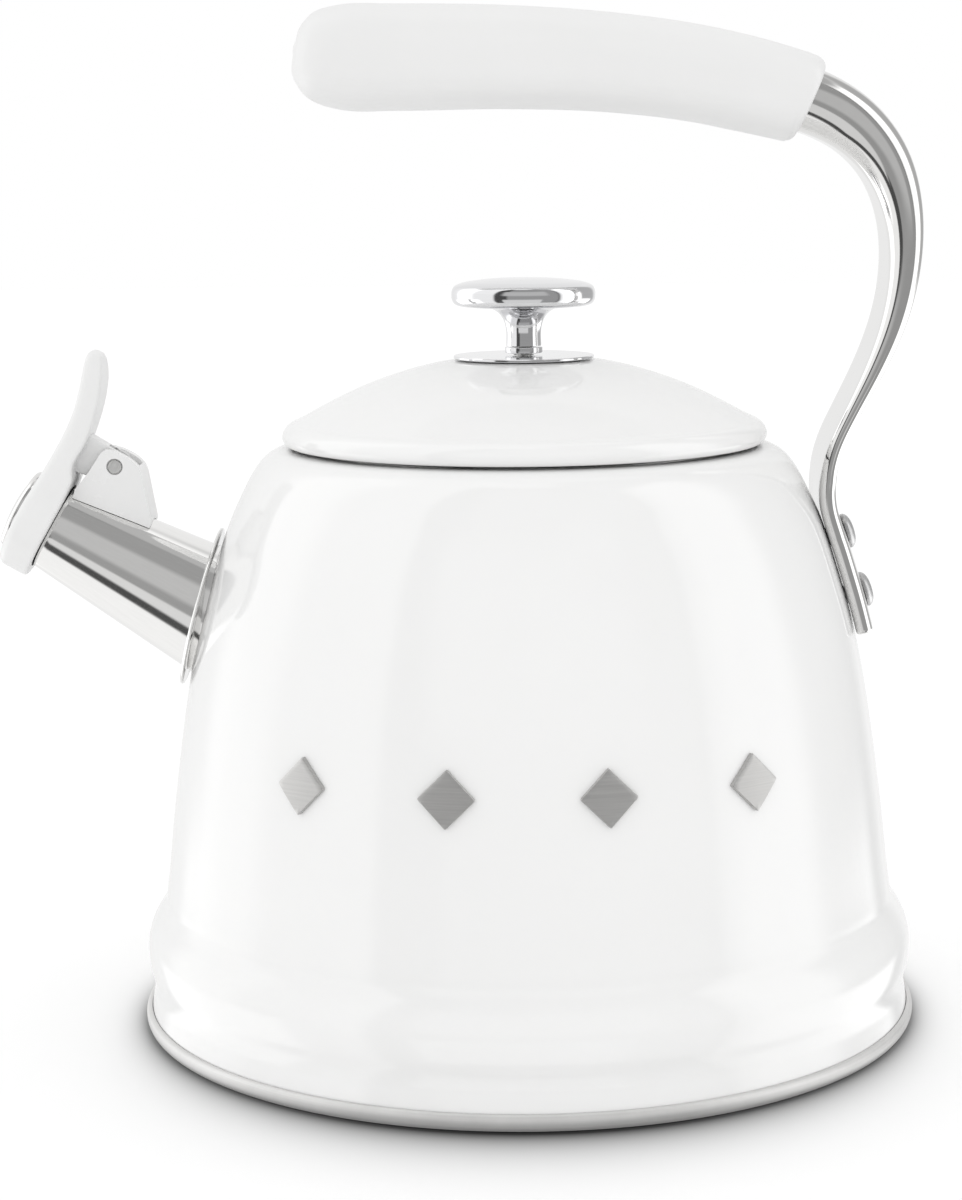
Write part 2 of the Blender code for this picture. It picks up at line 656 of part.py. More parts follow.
def bar_points():
    stand_off = (FOOT_THICKNESS / 2 + FOOT_GAP) / math.cos(FOOT_LEAN)
    heights = [height * MM for height in FOOT_HEIGHTS]
    foot = [Vector((body_radius(z) + stand_off, z, FOOT_THICKNESS)) for z in heights]
    return foot + scaled(BAR_LINE)


def bar_stations():
    """(middle point, direction, thickness, wrap) from the foot up. wrap is 1 on the body."""
    line = smooth(bar_points(), 2)
    last = len(line) - 1
    stations = []
    for i, point in enumerate(line):
        along = line[min(i + 1, last)] - line[max(i - 1, 0)]
        heading = Vector((along.x, along.y)).normalized()
        wrap = min(max((2 * len(FOOT_HEIGHTS) - i) / 4, 0.0), 1.0)
        stations.append((Vector((point.x, point.y)), heading, point.z, wrap))
    return stations


def bar_ring(station, shrink):
    """A flattened ring: the tube keeps its girth, so it grows wide where it is pressed thin."""
    middle, heading, thickness, wrap = station
    girth = math.pi * TUBE_DIAMETER
    width = thickness + (girth - math.pi * thickness) / 2
    half_thick, half_wide = thickness / 2 - shrink, width / 2 - shrink
    flat = half_wide - half_thick
    outward = Vector((heading.y, -heading.x))
    ring = []
    for side in (1, -1):
        turns = [math.radians(-90 + 36 * i) for i in range(6)]
        rounded = [(flat + half_thick * math.cos(t), half_thick * math.sin(t)) for t in turns]
        level = [(flat * share, half_thick) for share in (0.6, 0.2, -0.2, -0.6)]
        for across_y, out in rounded + level:
            y = side * across_y
            back = wrap * (y * y / (2 * FOOT_WRAP_RADIUS))
            spot = middle + outward * (side * out - back)
            ring.append(Vector((spot.x, y, spot.y)))
    return ring


def handle_bar():
    stations = bar_stations()
    rings = [bar_ring(station, 0.0) for station in stations]
    bore = [bar_ring(station, TUBE_WALL) for station in stations[2 * BORE_FROM:]]
    made = piece("handle_bar", loft("handle_bar", rings + bore[::-1]), polished_steel)
    for name, height in RIVET_HEIGHTS.items():
        boolean(made, "DIFFERENCE", rivet_hole(f"{name}_bar_hole", height))
    return made


def grip_rings(points, shrink):
    rings = []
    last = len(points) - 1
    for i, (x, z, height, half_width) in enumerate(points):
        before, after = points[max(i - 1, 0)], points[min(i + 1, last)]
        slope = math.atan2(after[1] - before[1], after[0] - before[0])
        up = Vector((math.sin(slope), 0.0, -math.cos(slope)))
        ring = []
        for j in range(20):
            turn = math.tau * j / 20
            y = math.copysign(abs(math.cos(turn)) ** GRIP_SQUARENESS, math.cos(turn))
            rise = math.copysign(abs(math.sin(turn)) ** GRIP_SQUARENESS, math.sin(turn))
            spot = Vector((x, 0.0, z)) + up * rise * (height / 2 - shrink)
            ring.append(spot + Vector((0.0, y * (half_width - shrink), 0.0)))
        rings.append(ring)
    return rings


def grip_sleeve():
    """A soft-cornered sleeve over the bar, closed at its free end."""
    points = [tuple(value * MM for value in row) for row in GRIP_LINE]
    made = piece("grip_sleeve", loft("grip_sleeve", grip_rings(points, 0.0)), white_plastic)
    stations = [s for s in bar_stations() if s[0].x < 86 * MM and s[0].y > 200 * MM]
    rings = [bar_ring(station, -GAP) for station in stations]
    end = [point + Vector((GRIP_BORE_END - rings[-1][0].x, 0.0, 0.0)) for point in rings[-1]]
    boolean(made, "DIFFERENCE", helper("grip_bore", loft("grip_bore", [*rings, end])))


# ---------------------------------------------------------------- rivets

def rivet_seat(height):
    """Where a rivet's axis crosses the middle of the bar's foot, and the way it points."""
    stations = bar_stations()
    near = min(stations, key=lambda station: abs(station[0].y - height))
    outward = Vector((math.cos(FOOT_LEAN), 0.0, math.sin(FOOT_LEAN)))
    slide = height - near[0].y
    x = near[0].x - slide * math.tan(FOOT_LEAN)
    return Vector((x, 0.0, height)), outward


def rivet_place(made, height):
    place, outward = rivet_seat(height)
    made.location = place
    made.rotation_euler = Vector((0, 0, 1)).rotation_difference(outward).to_euler()


def rivet_hole(name, height):
    hole = disc(name, RIVET_SHANK_RADIUS + GAP, -12 * MM, 6 * MM, 16)
    made = helper(name, hole)
    rivet_place(made, height)
    return made


def rivets(shell):
    outer = FOOT_THICKNESS / 2 + GAP
    body_outside = -outer
    washer_top = body_outside - WALL - 2 * GAP
    washer_bottom = washer_top - RIVET_WASHER_THICKNESS
    for name, height in RIVET_HEIGHTS.items():
        dome = [
            (RIVET_HEAD_RADIUS, outer), (RIVET_HEAD_RADIUS, outer + 0.5 * MM),
            (RIVET_HEAD_RADIUS * 0.88, outer + 1.3 * MM),
            (RIVET_HEAD_RADIUS * 0.6, outer + 2.0 * MM), (0.0, outer + RIVET_HEAD_HEIGHT),
        ]
        shank = RIVET_SHANK_RADIUS
        tail = washer_bottom - GAP
        outline = [
            (0.0, tail - 1.2 * MM), (shank + 0.7 * MM, tail - 1.0 * MM), (shank + 1.0 * MM, tail),
            (shank, tail), (shank, outer), *dome,
        ]
        made = piece(name, turned(name, outline, SMALL_STEPS, closed=False), brushed_steel)
        rivet_place(made, height)
        bore = shank + 0.3 * MM
        ring = tube(f"{name}_washer", bore, RIVET_WASHER_RADIUS, washer_bottom, washer_top)
        washer = piece(f"{name}_washer", ring, brushed_steel)
        rivet_place(washer, height)
        boolean(shell, "DIFFERENCE", rivet_hole(f"{name}_body_hole", height))


# ---------------------------------------------------------------- the kettle

def main():
    clear_scene()
    spout = empty("spout_frame", MOUTH_CENTRE, SPOUT_RISE - math.radians(90))
    spout_turn = Matrix.Rotation(SPOUT_RISE - math.radians(90), 3, "Y")
    hinge_place = MOUTH_CENTRE + spout_turn @ Vector((HINGE_UP, 0.0, HINGE_OUT))
    hinge = empty("flap_hinge", hinge_place, SPOUT_RISE - math.radians(90))
    seat = empty("lid_seat", Vector((0.0, 0.0, SHOULDER_Z)))
    shell = body_shell(spout)
    base()
    ornaments()
    lid(seat)
    spout_tube(spout)
    spout_collar(spout)
    spout_bracket(spout)
    hinge_pin(hinge)
    flap_spring(hinge)
    whistle_flap(hinge)
    whistle_discs(hinge)
    handle_bar()
    grip_sleeve()
    rivets(shell)


main()
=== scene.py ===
"""Stovetop whistling kettle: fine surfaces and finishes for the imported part, and its studio.

Units are metres and +Z is up. The kettle stands on Z = 0, its spout points to -X and its handle
stands on the +X side. Lists of sizes below are in millimetres.
"""

import json
import math

import bmesh
import bpy
from mathutils import Matrix, Vector

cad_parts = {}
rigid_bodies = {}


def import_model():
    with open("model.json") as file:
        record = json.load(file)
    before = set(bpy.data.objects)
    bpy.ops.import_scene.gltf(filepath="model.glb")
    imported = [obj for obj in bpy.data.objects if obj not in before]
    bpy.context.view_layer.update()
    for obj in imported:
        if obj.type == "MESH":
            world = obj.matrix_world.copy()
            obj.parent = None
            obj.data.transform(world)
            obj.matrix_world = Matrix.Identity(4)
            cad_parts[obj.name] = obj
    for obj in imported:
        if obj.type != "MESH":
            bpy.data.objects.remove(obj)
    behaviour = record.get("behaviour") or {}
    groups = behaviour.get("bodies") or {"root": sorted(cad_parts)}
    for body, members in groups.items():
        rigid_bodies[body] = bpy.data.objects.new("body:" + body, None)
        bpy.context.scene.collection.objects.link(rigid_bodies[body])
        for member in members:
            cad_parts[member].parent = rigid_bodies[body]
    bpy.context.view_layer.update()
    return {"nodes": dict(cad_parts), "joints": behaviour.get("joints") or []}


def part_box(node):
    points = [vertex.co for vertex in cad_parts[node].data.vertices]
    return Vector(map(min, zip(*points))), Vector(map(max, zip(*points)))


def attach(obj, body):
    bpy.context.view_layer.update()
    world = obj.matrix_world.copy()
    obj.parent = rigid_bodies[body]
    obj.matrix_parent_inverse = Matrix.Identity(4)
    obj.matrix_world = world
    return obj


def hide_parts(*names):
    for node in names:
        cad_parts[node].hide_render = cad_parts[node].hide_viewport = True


bl_info = {
    "name": "Whistling Kettle",
    "version": (1, 0, 0),
    "blender": (4, 5, 0),
    "location": "3D View > Sidebar > Kettle",
    "description": "Builds a stovetop whistling kettle, piece by piece, in a small studio",
    "category": "Add Mesh",
}

for leftover in list(bpy.data.objects):
    bpy.data.objects.remove(leftover, do_unlink=True)

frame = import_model()

MM = 0.001
ROUND = 192  # segments round the large turned pieces
FINE = 96  # segments round the small ones

# Radius and height of the body's outer side, from the waist above the base to the mouth's lip.
BODY_WALL_LINE = [
    (97.4, 4.6), (97.0, 7.0), (96.6, 9.8), (96.9, 12.6), (97.6, 15.4), (97.95, 19.0),
    (97.8, 22.0), (96.9, 25.0), (95.4, 27.8), (94.0, 29.8), (93.2, 31.4), (92.85, 34.0),
    (92.3, 38.0), (90.7, 52.6),
    (88.2, 71.9), (85.1, 91.1), (82.6, 102.6), (79.4, 113.7), (74.7, 127.8), (71.4, 134.9),
    (68.2, 140.8), (65.4, 144.1), (62.2, 145.8), (57.5, 146.3), (54.6, 146.2),
]
LID_LINE = [
    (58.8, 147.3), (59.9, 147.0), (61.1, 148.7), (60.5, 150.8), (59.0, 152.2), (57.4, 152.85),
    (55.7, 153.75), (51.4, 156.1), (41.3, 161.0), (29.2, 165.2), (20.5, 167.2), (16.5, 167.7),
]
KNOB_LINE = [
    (4.45, 171.1), (4.45, 175.2), (5.0, 177.4), (6.2, 179.2), (8.2, 180.4), (12.0, 180.9),
    (16.0, 181.1), (17.3, 181.6), (17.95, 182.6), (18.1, 183.8), (18.0, 184.9), (17.5, 185.9),
    (16.2, 186.6), (12.0, 187.4), (6.0, 187.9), (0.0, 188.0),
]
# Flap, in the mouth's frame: where its back and front faces lie along the spout at each height
# up the mouth's face, and its half outline as (up, half width) from the cap's foot to the tip.
FLAP_BACK = [
    (-14.8, -0.9), (12.0, -0.9), (13.6, -0.7), (16.4, 0.85), (23.6, 1.0), (27.6, 1.5), (34.8, 3.1),
    (39.8, 5.0), (43.2, 6.9), (46.0, 8.6),
]
FLAP_FRONT = [
    (-14.8, 7.4), (6.0, 7.4), (12.0, 7.1), (21.6, 7.0), (28.6, 7.5), (34.6, 8.8), (40.0, 10.4),
    (42.0, 11.0), (46.0, 12.1),
]
LEVER_PLAN = [
    (17.5, 8.7), (22.0, 7.6), (27.0, 7.2), (36.0, 7.2), (40.5, 7.0), (43.0, 5.9), (44.4, 3.6),
    (44.8, 0.0),
]
BRACKET_LINE = [
    (-3.2, 6.0), (-2.0, 11.8), (-3.0, 17.3), (-3.5, 23.6), (-4.4, 24.6), (-8.0, 25.2),
    (-11.3, 25.1), (-13.6, 24.4), (-15.0, 23.2), (-22.6, 13.8), (-23.0, 12.8), (-22.4, 6.0),
]
# Middle line of the bar as (x, z, thickness), above the part that follows the body.
FOOT_HEIGHTS = [99.5, 107.0, 115.2, 123.2, 130.6]
BAR_LINE = [
    (75.4, 137.6, 4.0), (76.9, 145.2, 3.8), (81.2, 154.4, 3.9), (86.8, 165.2, 4.9),
    (91.7, 177.2, 6.4), (94.3, 190.2, 7.8), (93.9, 203.8, 9.8), (89.8, 216.0, 12.4),
    (81.9, 225.2, 14.6), (71.4, 231.0, 16.0), (56.0, 235.0, 16.0), (30.0, 239.0, 15.0),
]
# Grip as (x, z, height, half width).
GRIP_LINE = [
    (67.9, 232.0, 22.4, 16.4), (58.0, 234.6, 23.2, 16.9), (43.6, 237.8, 23.6, 17.0),
    (22.0, 240.7, 24.2, 17.0), (-4.0, 242.2, 25.2, 17.0), (-32.0, 242.4, 26.0, 17.0),
    (-43.6, 242.5, 25.8, 16.6), (-50.6, 242.8, 22.4, 14.6), (-54.6, 243.1, 15.2, 10.2),
    (-56.2, 243.3, 5.2, 3.4), (-56.4, 243.3, 0.4, 0.3),
]
GRIP_END = Vector((70.8, 230.7)) * MM
RIVETS = {"rivet_upper": 122.6, "rivet_lower": 107.6}
ORNAMENT_ANGLES = [-36.4, -12.1, 12.1, 36.4]

PORT_RADIUS = 0.014  # of the opening from the body into the spout
SPOUT_ROOT, PORT_END = -0.056, -0.025  # along the spout, from inside the body to past its wall
PIN_BORE, BORE_REACH = 1.5 * MM, 0.009  # radius and half length of the hinge's bore
CHEEK_GAP = 0.4 * MM  # between the hinge lug and each cheek of the bracket
CHAMBER_RADIUS = 7.0 * MM  # of the hollow behind the whistle's face disc
CAP_SWEEP, CAP_STEPS = 128, 48  # degrees from the cap's foot to the lever, and its steps
FACE_SHARES = (0.75, 0.5, 0.25, 0.0, -0.25, -0.5, -0.75)  # across the flap's flat faces
SEAM_X, SEAM_Z = -50.7 * MM, 242.2 * MM  # where the mould lines of the grip's end lie

CAMERA_PLACE = (0.0, -0.6896, 0.2179)
CAMERA_TILT, CAMERA_ROLL, CAMERA_SHIFT = 9.2, 0.5, -0.0375
BLACK = (0.0, 0.0, 0.0, 1.0)

HINGE = Vector(next(j["pos_m"] for j in frame["joints"] if j["name"] == "flap_hinge"))


# ---------------------------------------------------------------- settings

def size(name, description, default, **more):
    return bpy.props.FloatProperty(
        name=name, description=description, default=default, min=0.0, precision=4,
        unit="LENGTH", **more,
    )


def angle(name, description, degrees):
    return bpy.props.FloatProperty(
        name=name, description=description, default=math.radians(degrees), subtype="ANGLE"
    )


def ratio(name, description, default, high=1.0):
    return bpy.props.FloatProperty(
        name=name, description=description, default=default, min=0.0, max=high
    )


def colour(name, description, default):
    return bpy.props.FloatVectorProperty(
        name=name, description=description, default=default, subtype="COLOR", size=3,
        min=0.0, max=1.0,
    )


class KettleBodySettings(bpy.types.PropertyGroup):
    """Sizes of the body, base and ornaments"""

    wall: size("Wall", "Thickness of the enamelled wall", 1.2 * MM)
    floor_height: size("Floor height", "Height of the body's underside", 3.6 * MM)
    foot_radius: size("Foot radius", "Radius of the body where it meets the base", 97.45 * MM)
    foot_fillet: size("Foot fillet", "Rounding at the body's foot", 0.6 * MM)
    mouth_radius: size("Mouth radius", "Radius of the mouth under the lid", 53.0 * MM)
    base_radius: size("Base radius", "Radius of the steel base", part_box("base_cap")[1].x)
    ornament_height: size("Ornament height", "Height of the lozenges' centres", 74.6 * MM)
    ornament_reach: size("Ornament reach", "Half diagonal of a lozenge", 6.8 * MM)
    ornament_thickness: size("Ornament thickness", "How far a lozenge stands out", 1.1 * MM)


class KettleLidSettings(bpy.types.PropertyGroup):
    """Sizes of the lid and its knob"""

    wall: size("Wall", "Thickness of the lid's wall", 1.1 * MM)
    skirt_radius: size("Skirt radius", "Radius of the ring that enters the mouth", 51.8 * MM)
    skirt_wall: size("Skirt wall", "Thickness of that ring", 0.8 * MM)
    plate_radius: size("Plate radius", "Radius of the steel plate under the knob", 17.7 * MM)
    collar_radius: size("Collar radius", "Radius of the ring under the knob", 4.75 * MM)
    plate_height: size("Plate height", "Thickness of that plate at its rim", 0.75 * MM)


class KettleSpoutSettings(bpy.types.PropertyGroup):
    """Sizes of the spout, its collar, the flap and its bracket"""

    rise: angle("Rise", "Slope of the spout's axis", 29.2)
    mouth: bpy.props.FloatVectorProperty(
        name="Mouth", description="Centre of the spout's mouth", size=3, unit="LENGTH",
        default=(-120.6 * MM, 0.0, 127.0 * MM), precision=4,
    )
    mouth_radius: size("Mouth radius", "Outer radius at the mouth", 11.2 * MM)
    taper: ratio("Taper", "Growth of the radius per length towards the body", 0.105)
    wall: size("Wall", "Thickness of the spout's wall", 1.0 * MM)
    collar_radius: size("Collar radius", "Radius of the ring at the spout's root", 20.6 * MM)
    collar_height: size("Collar height", "Height of the ring's centre", 105.3 * MM)
    collar_lean: angle("Collar lean", "Slope of the ring", 15.2)
    cap_radius: size("Cap radius", "Radius of the flap's round cap", 14.6 * MM)
    front_round: size("Front rounding", "Rounding of the flap's front edge", 2.4 * MM)
    back_round: size("Back rounding", "Rounding of the flap's back edge", 0.8 * MM)
    seat_radius: size("Seat radius", "Radius of the seat that closes on the mouth", 11.7 * MM)
    disc_radius: size("Disc radius", "Radius of the whistle's face disc", 10.4 * MM)
    bracket_half_width: size("Bracket half width", "Half the bracket's width", 6.5 * MM)
    lug_half_width: size("Lug half width", "Half the width of the hinge lug", 2.8 * MM)


class KettleHandleSettings(bpy.types.PropertyGroup):
    """Sizes of the bar, the grip and the rivets"""

    tube_diameter: size("Tube diameter", "Diameter of the bar before it is pressed", 20.5 * MM)
    foot_thickness: size("Foot thickness", "Thickness of the pressed foot", 4.2 * MM)
    foot_gap: size("Foot gap", "Space between the foot and the body", 0.4 * MM)
    foot_lean: angle("Foot lean", "Slope of the body behind the foot", 17.4)
    wrap_radius: size("Wrap radius", "Roundness of the foot across its width", 84.0 * MM)
    grip_squareness: ratio("Grip squareness", "1 is an ellipse, smaller is squarer", 0.74)
    grip_round: size("Grip rounding", "Rounding at the grip's open end", 1.8 * MM)
    rivet_radius: size("Rivet radius", "Radius of a rivet's head", 4.5 * MM)
    rivet_height: size("Rivet height", "Height of a rivet's head", 2.3 * MM)


class KettleFinishSettings(bpy.types.PropertyGroup):
    """Colours of the finishes"""

    enamel: colour("Enamel", "White enamel", (0.855, 0.855, 0.851))
    steel: colour("Polished steel", "Spout, bar and whistle", (0.80, 0.795, 0.785))
    chrome: colour("Chrome", "Knob and its plate", (0.80, 0.80, 0.81))
    base_steel: colour("Base steel", "Satin base cap", (0.74, 0.735, 0.725))
    inner_steel: colour("Inner steel", "Pin, spring, screw and skirt", (0.60, 0.60, 0.59))
    aluminium: colour("Aluminium", "Core of the base", (0.75, 0.75, 0.76))
    rivet: colour("Rivet", "Matt rivet metal", (0.62, 0.62, 0.62))
    ornament: colour("Ornament", "Brushed lozenges", (0.62, 0.615, 0.605))
    plastic: colour("Plastic", "Grip, flap and bracket", (0.80, 0.80, 0.797))
    rubber: colour("Rubber", "Seal of the flap", (0.030, 0.030, 0.032))


class KettleStageSettings(bpy.types.PropertyGroup):
    """Floor, light and camera"""

    floor: colour("Floor", "Colour of the floor", (0.985, 0.985, 0.985))
    shade: ratio("Front shade", "Floor brightness right in front of the base", 0.06)
    side_shade: ratio("Side shade", "Depth of the contact shade at the sides", 0.58)
    shade_reach: size("Shade reach", "How far the contact shade spreads", 8.5 * MM)
    light: ratio("Light", "Strength of the even light on matt surfaces", 1.08, 10.0)
    panel_light: ratio("Panel light", "Strength of the two reflected side panels", 1.7, 20.0)
    lens: bpy.props.FloatProperty(
        name="Lens", description="Focal length in millimetres", default=82.1, min=1.0
    )


class KettleSettings(bpy.types.PropertyGroup):
    """Everything that can be changed"""

    body: bpy.props.PointerProperty(type=KettleBodySettings)
    lid: bpy.props.PointerProperty(type=KettleLidSettings)
    spout: bpy.props.PointerProperty(type=KettleSpoutSettings)
    handle: bpy.props.PointerProperty(type=KettleHandleSettings)
    finish: bpy.props.PointerProperty(type=KettleFinishSettings)
    stage: bpy.props.PointerProperty(type=KettleStageSettings)


# ---------------------------------------------------------------- outlines

def scaled(points):
    return [Vector(point) * MM for point in points]


def smooth(points, steps):
    """Points of a flowing curve through these, with steps spans between each pair."""
    last = len(points) - 1
    spans = [(points[i + 1] - points[i]).length for i in range(last)]
    headings = [(points[i + 1] - points[i]) / spans[i] for i in range(last)]
    slopes = [headings[0]]
    for i in range(1, last):
        before, after = spans[i - 1], spans[i]
        slopes.append((headings[i - 1] * after + headings[i] * before) / (before + after))
    slopes.append(headings[-1])
    curve = [points[0]]
    for i in range(last):
        near = points[i] + slopes[i] * (spans[i] / 3)
        far = points[i + 1] - slopes[i + 1] * (spans[i] / 3)
        for k in range(1, steps + 1):
            t = k / steps
            s = 1 - t
            curve.append(
                points[i] * s ** 3 + near * (3 * s * s * t) + far * (3 * s * t * t)
                + points[i + 1] * t ** 3
            )
    return curve


def relaxed(line, passes):
    """The same line with small changes of curvature evened out. Its ends stay."""
    for _ in range(passes):
        inner = [(a + b * 2 + c) / 4 for a, b, c in zip(line, line[1:], line[2:])]
        line = [line[0], *inner, line[-1]]
    return line


def normals(outline):
    """The right-hand normal of an open outline at each of its points."""
    last = len(outline) - 1
    found = []
    for i in range(last + 1):
        along = (outline[min(i + 1, last)] - outline[max(i - 1, 0)]).normalized()
        found.append(Vector((along.y, -along.x)))
    return found


def arc(centre, radius, start, end, steps):
    """Points of an arc from start to end, in degrees."""
    turns = [math.radians(start + (end - start) * i / steps) for i in range(steps + 1)]
    return [centre + Vector((math.cos(t), math.sin(t))) * radius for t in turns]


def rounded(corners, radius, steps=5):
    """A closed outline with each corner rounded, as far as the sides next to it allow."""
    count = len(corners)
    outline = []
    for i, corner in enumerate(corners):
        before, after = corners[i - 1] - corner, corners[(i + 1) % count] - corner
        start = corner + before.normalized() * min(radius, before.length * 0.45)
        end = corner + after.normalized() * min(radius, after.length * 0.45)
        for k in range(steps + 1):
            t = k / steps
            outline.append(start * (1 - t) ** 2 + corner * (2 * t * (1 - t)) + end * t ** 2)
    return outline


def height_at(line, place):
    """The value of a (place, value) line at a place, between its points."""
    for (low, first), (high, second) in zip(line, line[1:]):
        if place <= high or (high, second) == tuple(line[-1]):
            share = (place - low) / (high - low)
            return first + (second - first) * share
    raise ValueError("an empty line")


# ---------------------------------------------------------------- meshes

def mesh_of(name, bm, sharp=38):
    bmesh.ops.remove_doubles(bm, verts=bm.verts, dist=1e-7)
    bmesh.ops.recalc_face_normals(bm, faces=bm.faces)
    mesh = bpy.data.meshes.new(name)
    bm.to_mesh(mesh)
    bm.free()
    mesh.shade_smooth()
    mesh.set_sharp_from_angle(angle=math.radians(sharp))
    return mesh


def turned(name, outline, steps=ROUND, closed=True):
    """A solid of revolution about Z. An outline that isn't closed starts and ends on the axis."""
    bm = bmesh.new()
    verts = [bm.verts.new((point[0], 0.0, point[1])) for point in outline]
    pairs = zip(verts, verts[1:] + verts[:1]) if closed else zip(verts, verts[1:])
    edges = [bm.edges.new(pair) for pair in pairs]
    bmesh.ops.spin(
        bm, geom=verts + edges, cent=(0, 0, 0), axis=(0, 0, 1),
        angle=math.tau, steps=steps, use_merge=True,
    )
    return mesh_of(name, bm)


def skinned(name, rings, caps=True, endless=False, sharp=38):
    """Closed rings joined in turn. They end in caps, or endless rings close on themselves."""
    bm = bmesh.new()
    loops = [[bm.verts.new(point) for point in ring] for ring in rings]
    count = len(rings[0])
    following = loops[1:] + (loops[:1] if endless else [])
    for first, second in zip(loops, following):
        for i in range(count):
            j = (i + 1) % count
            bm.faces.new((first[i], first[j], second[j], second[i]))
    if caps and not endless:
        bm.faces.new(loops[0][::-1])
        bm.faces.new(loops[-1])
    return mesh_of(name, bm, sharp)


def plate(name, corners, low, high, place, edge=0.0):
    """A plate of this outline. place turns (a, b, height) into a point, edge rounds its rims."""
    bm = bmesh.new()
    base = bm.faces.new([bm.verts.new(place(a, b, low)) for a, b in corners])
    grown = bmesh.ops.extrude_face_region(bm, geom=[base])
    moved = [item for item in grown["geom"] if isinstance(item, bmesh.types.BMVert)]
    bmesh.ops.translate(bm, verts=moved, vec=place(0, 0, high) - place(0, 0, low))
    bmesh.ops.recalc_face_normals(bm, faces=bm.faces)
    if edge:
        rims = [e for f in bm.faces if len(f.verts) > 4 for e in f.edges]
        bmesh.ops.bevel(
            bm, geom=list(set(rims)), offset=edge, segments=3, profile=0.5,
            affect="EDGES", clamp_overlap=True,
        )
    return mesh_of(name, bm)


def lying(mesh, offset=(0.0, 0.0, 0.0)):
    """Turns a mesh made about Z so that it lies along Y, and moves it."""
    mesh.transform(Matrix.Rotation(math.radians(90), 4, "X"))
    mesh.transform(Matrix.Translation(offset))
    return mesh


def carved(mesh, steps, edge=0.0):
    """The mesh after Boolean steps of (operation, other mesh), with its new edges rounded."""
    target = bpy.data.objects.new("carving", mesh)
    bpy.context.scene.collection.objects.link(target)
    tools = []
    for number, (operation, other) in enumerate(steps):
        tool = bpy.data.objects.new(f"carving_tool_{number}", other)
        bpy.context.scene.collection.objects.link(tool)
        tools.append(tool)
        modifier = target.modifiers.new(tool.name, "BOOLEAN")
        modifier.operation = operation
        modifier.solver = "EXACT"
        modifier.object = tool
    if edge:
        bevel = target.modifiers.new("edge", "BEVEL")
        bevel.width = edge
        bevel.segments = 3
        bevel.limit_method = "ANGLE"
        bevel.angle_limit = math.radians(40)
    bpy.context.view_layer.update()
    graph = bpy.context.evaluated_depsgraph_get()
    made = bpy.data.meshes.new_from_object(target.evaluated_get(graph))
    made.name = mesh.name
    for obj in [target, *tools]:
        bpy.data.objects.remove(obj, do_unlink=True)
    if not made.polygons:
        raise RuntimeError(f"{mesh.name} was carved away")
    made.shade_smooth()
    made.set_sharp_from_angle(angle=math.radians(32))
    return made


def piece(name, mesh, surface, body, nodes=(), place=None):
    """A visible piece that rides on a body and stands for CAD nodes."""
    made = bpy.data.objects.new(name, mesh)
    bpy.context.scene.collection.objects.link(made)
    mesh.materials.clear()
    mesh.materials.append(surface)
    if place is not None:
        made.matrix_world = place
    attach(made, body)
    if nodes:
        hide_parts(*nodes)
    return made


def refinished(node, surface):
    """A CAD node that stays as it is, with its own finish."""
    obj = frame["nodes"][node]
    obj.data.materials.clear()
    obj.data.materials.append(surface)


# ---------------------------------------------------------------- shader nodes

class Wiring:
    """Adds nodes to a tree and joins them up."""

    def __init__(self, tree):
        self.tree = tree

    def feed(self, socket, value):
        if isinstance(value, bpy.types.NodeSocket):
            self.tree.links.new(value, socket)
        else:
            socket.default_value = value

    def add(self, kind, inputs=None, **settings):
        node = self.tree.nodes.new(kind)
        for name, value in settings.items():
            setattr(node, name, value)
        for key, value in (inputs or {}).items():
            self.feed(node.inputs[key], value)
        return node

    def sum(self, operation, *values):
        node = self.add("ShaderNodeMath", operation=operation)
        for socket, value in zip(node.inputs, values):
            self.feed(socket, value)
        return node.outputs[0]

    def spread(self, value, low, high, to_low=0.0, to_high=1.0, kind="LINEAR"):
        node = self.add("ShaderNodeMapRange", {
            "Value": value, "From Min": low, "From Max": high, "To Min": to_low,
            "To Max": to_high,
        }, interpolation_type=kind)
        return node.outputs["Result"]

    def blend(self, share, first, second, kind="MIX"):
        node = self.add("ShaderNodeMix", data_type="RGBA", blend_type=kind)
        self.feed(node.inputs[0], share)
        self.feed(node.inputs[6], first)
        self.feed(node.inputs[7], second)
        return node.outputs[2]

    def noise(self, vector, scale, detail=3.0, roughness=0.5):
        node = self.add("ShaderNodeTexNoise", {
            "Vector": vector, "Scale": scale, "Detail": detail, "Roughness": roughness,
        })
        return node.outputs[0]

    def spot(self):
        return self.add("ShaderNodeTexCoord").outputs["Object"]


def effect(name, inputs, outputs):
    """A new node group with these sockets: its wiring, its input node and its output node."""
    tree = bpy.data.node_groups.new(name, "ShaderNodeTree")
    for label, kind, default in inputs:
        socket = tree.interface.new_socket(name=label, in_out="INPUT", socket_type=kind)
        if default is not None:
            socket.default_value = default
    for label, kind in outputs:
        tree.interface.new_socket(name=label, in_out="OUTPUT", socket_type=kind)
    return Wiring(tree), tree.nodes.new("NodeGroupInput"), tree.nodes.new("NodeGroupOutput")


FLOAT, POINT = "NodeSocketFloat", "NodeSocketVector"


def mottle_group():
    """Cloudy change over a surface, from Low to High, such as handling smears."""
    wires, given, out = effect(
        "kettle_mottle",
        [("Place", POINT, None), ("Scale", FLOAT, 30.0), ("Low", FLOAT, 0.0),
         ("High", FLOAT, 1.0)],
        [("Value", FLOAT)],
    )
    cloud = wires.noise(given.outputs["Place"], given.outputs["Scale"], 4.0, 0.55)
    fine = wires.noise(given.outputs["Place"], wires.sum(
        "MULTIPLY", given.outputs["Scale"], 7.0), 3.0, 0.6)
    both = wires.sum("MULTIPLY_ADD", fine, 0.25, wires.sum("MULTIPLY", cloud, 0.75))
    wires.feed(out.inputs["Value"], wires.spread(
        both, 0.34, 0.66, given.outputs["Low"], given.outputs["High"]))


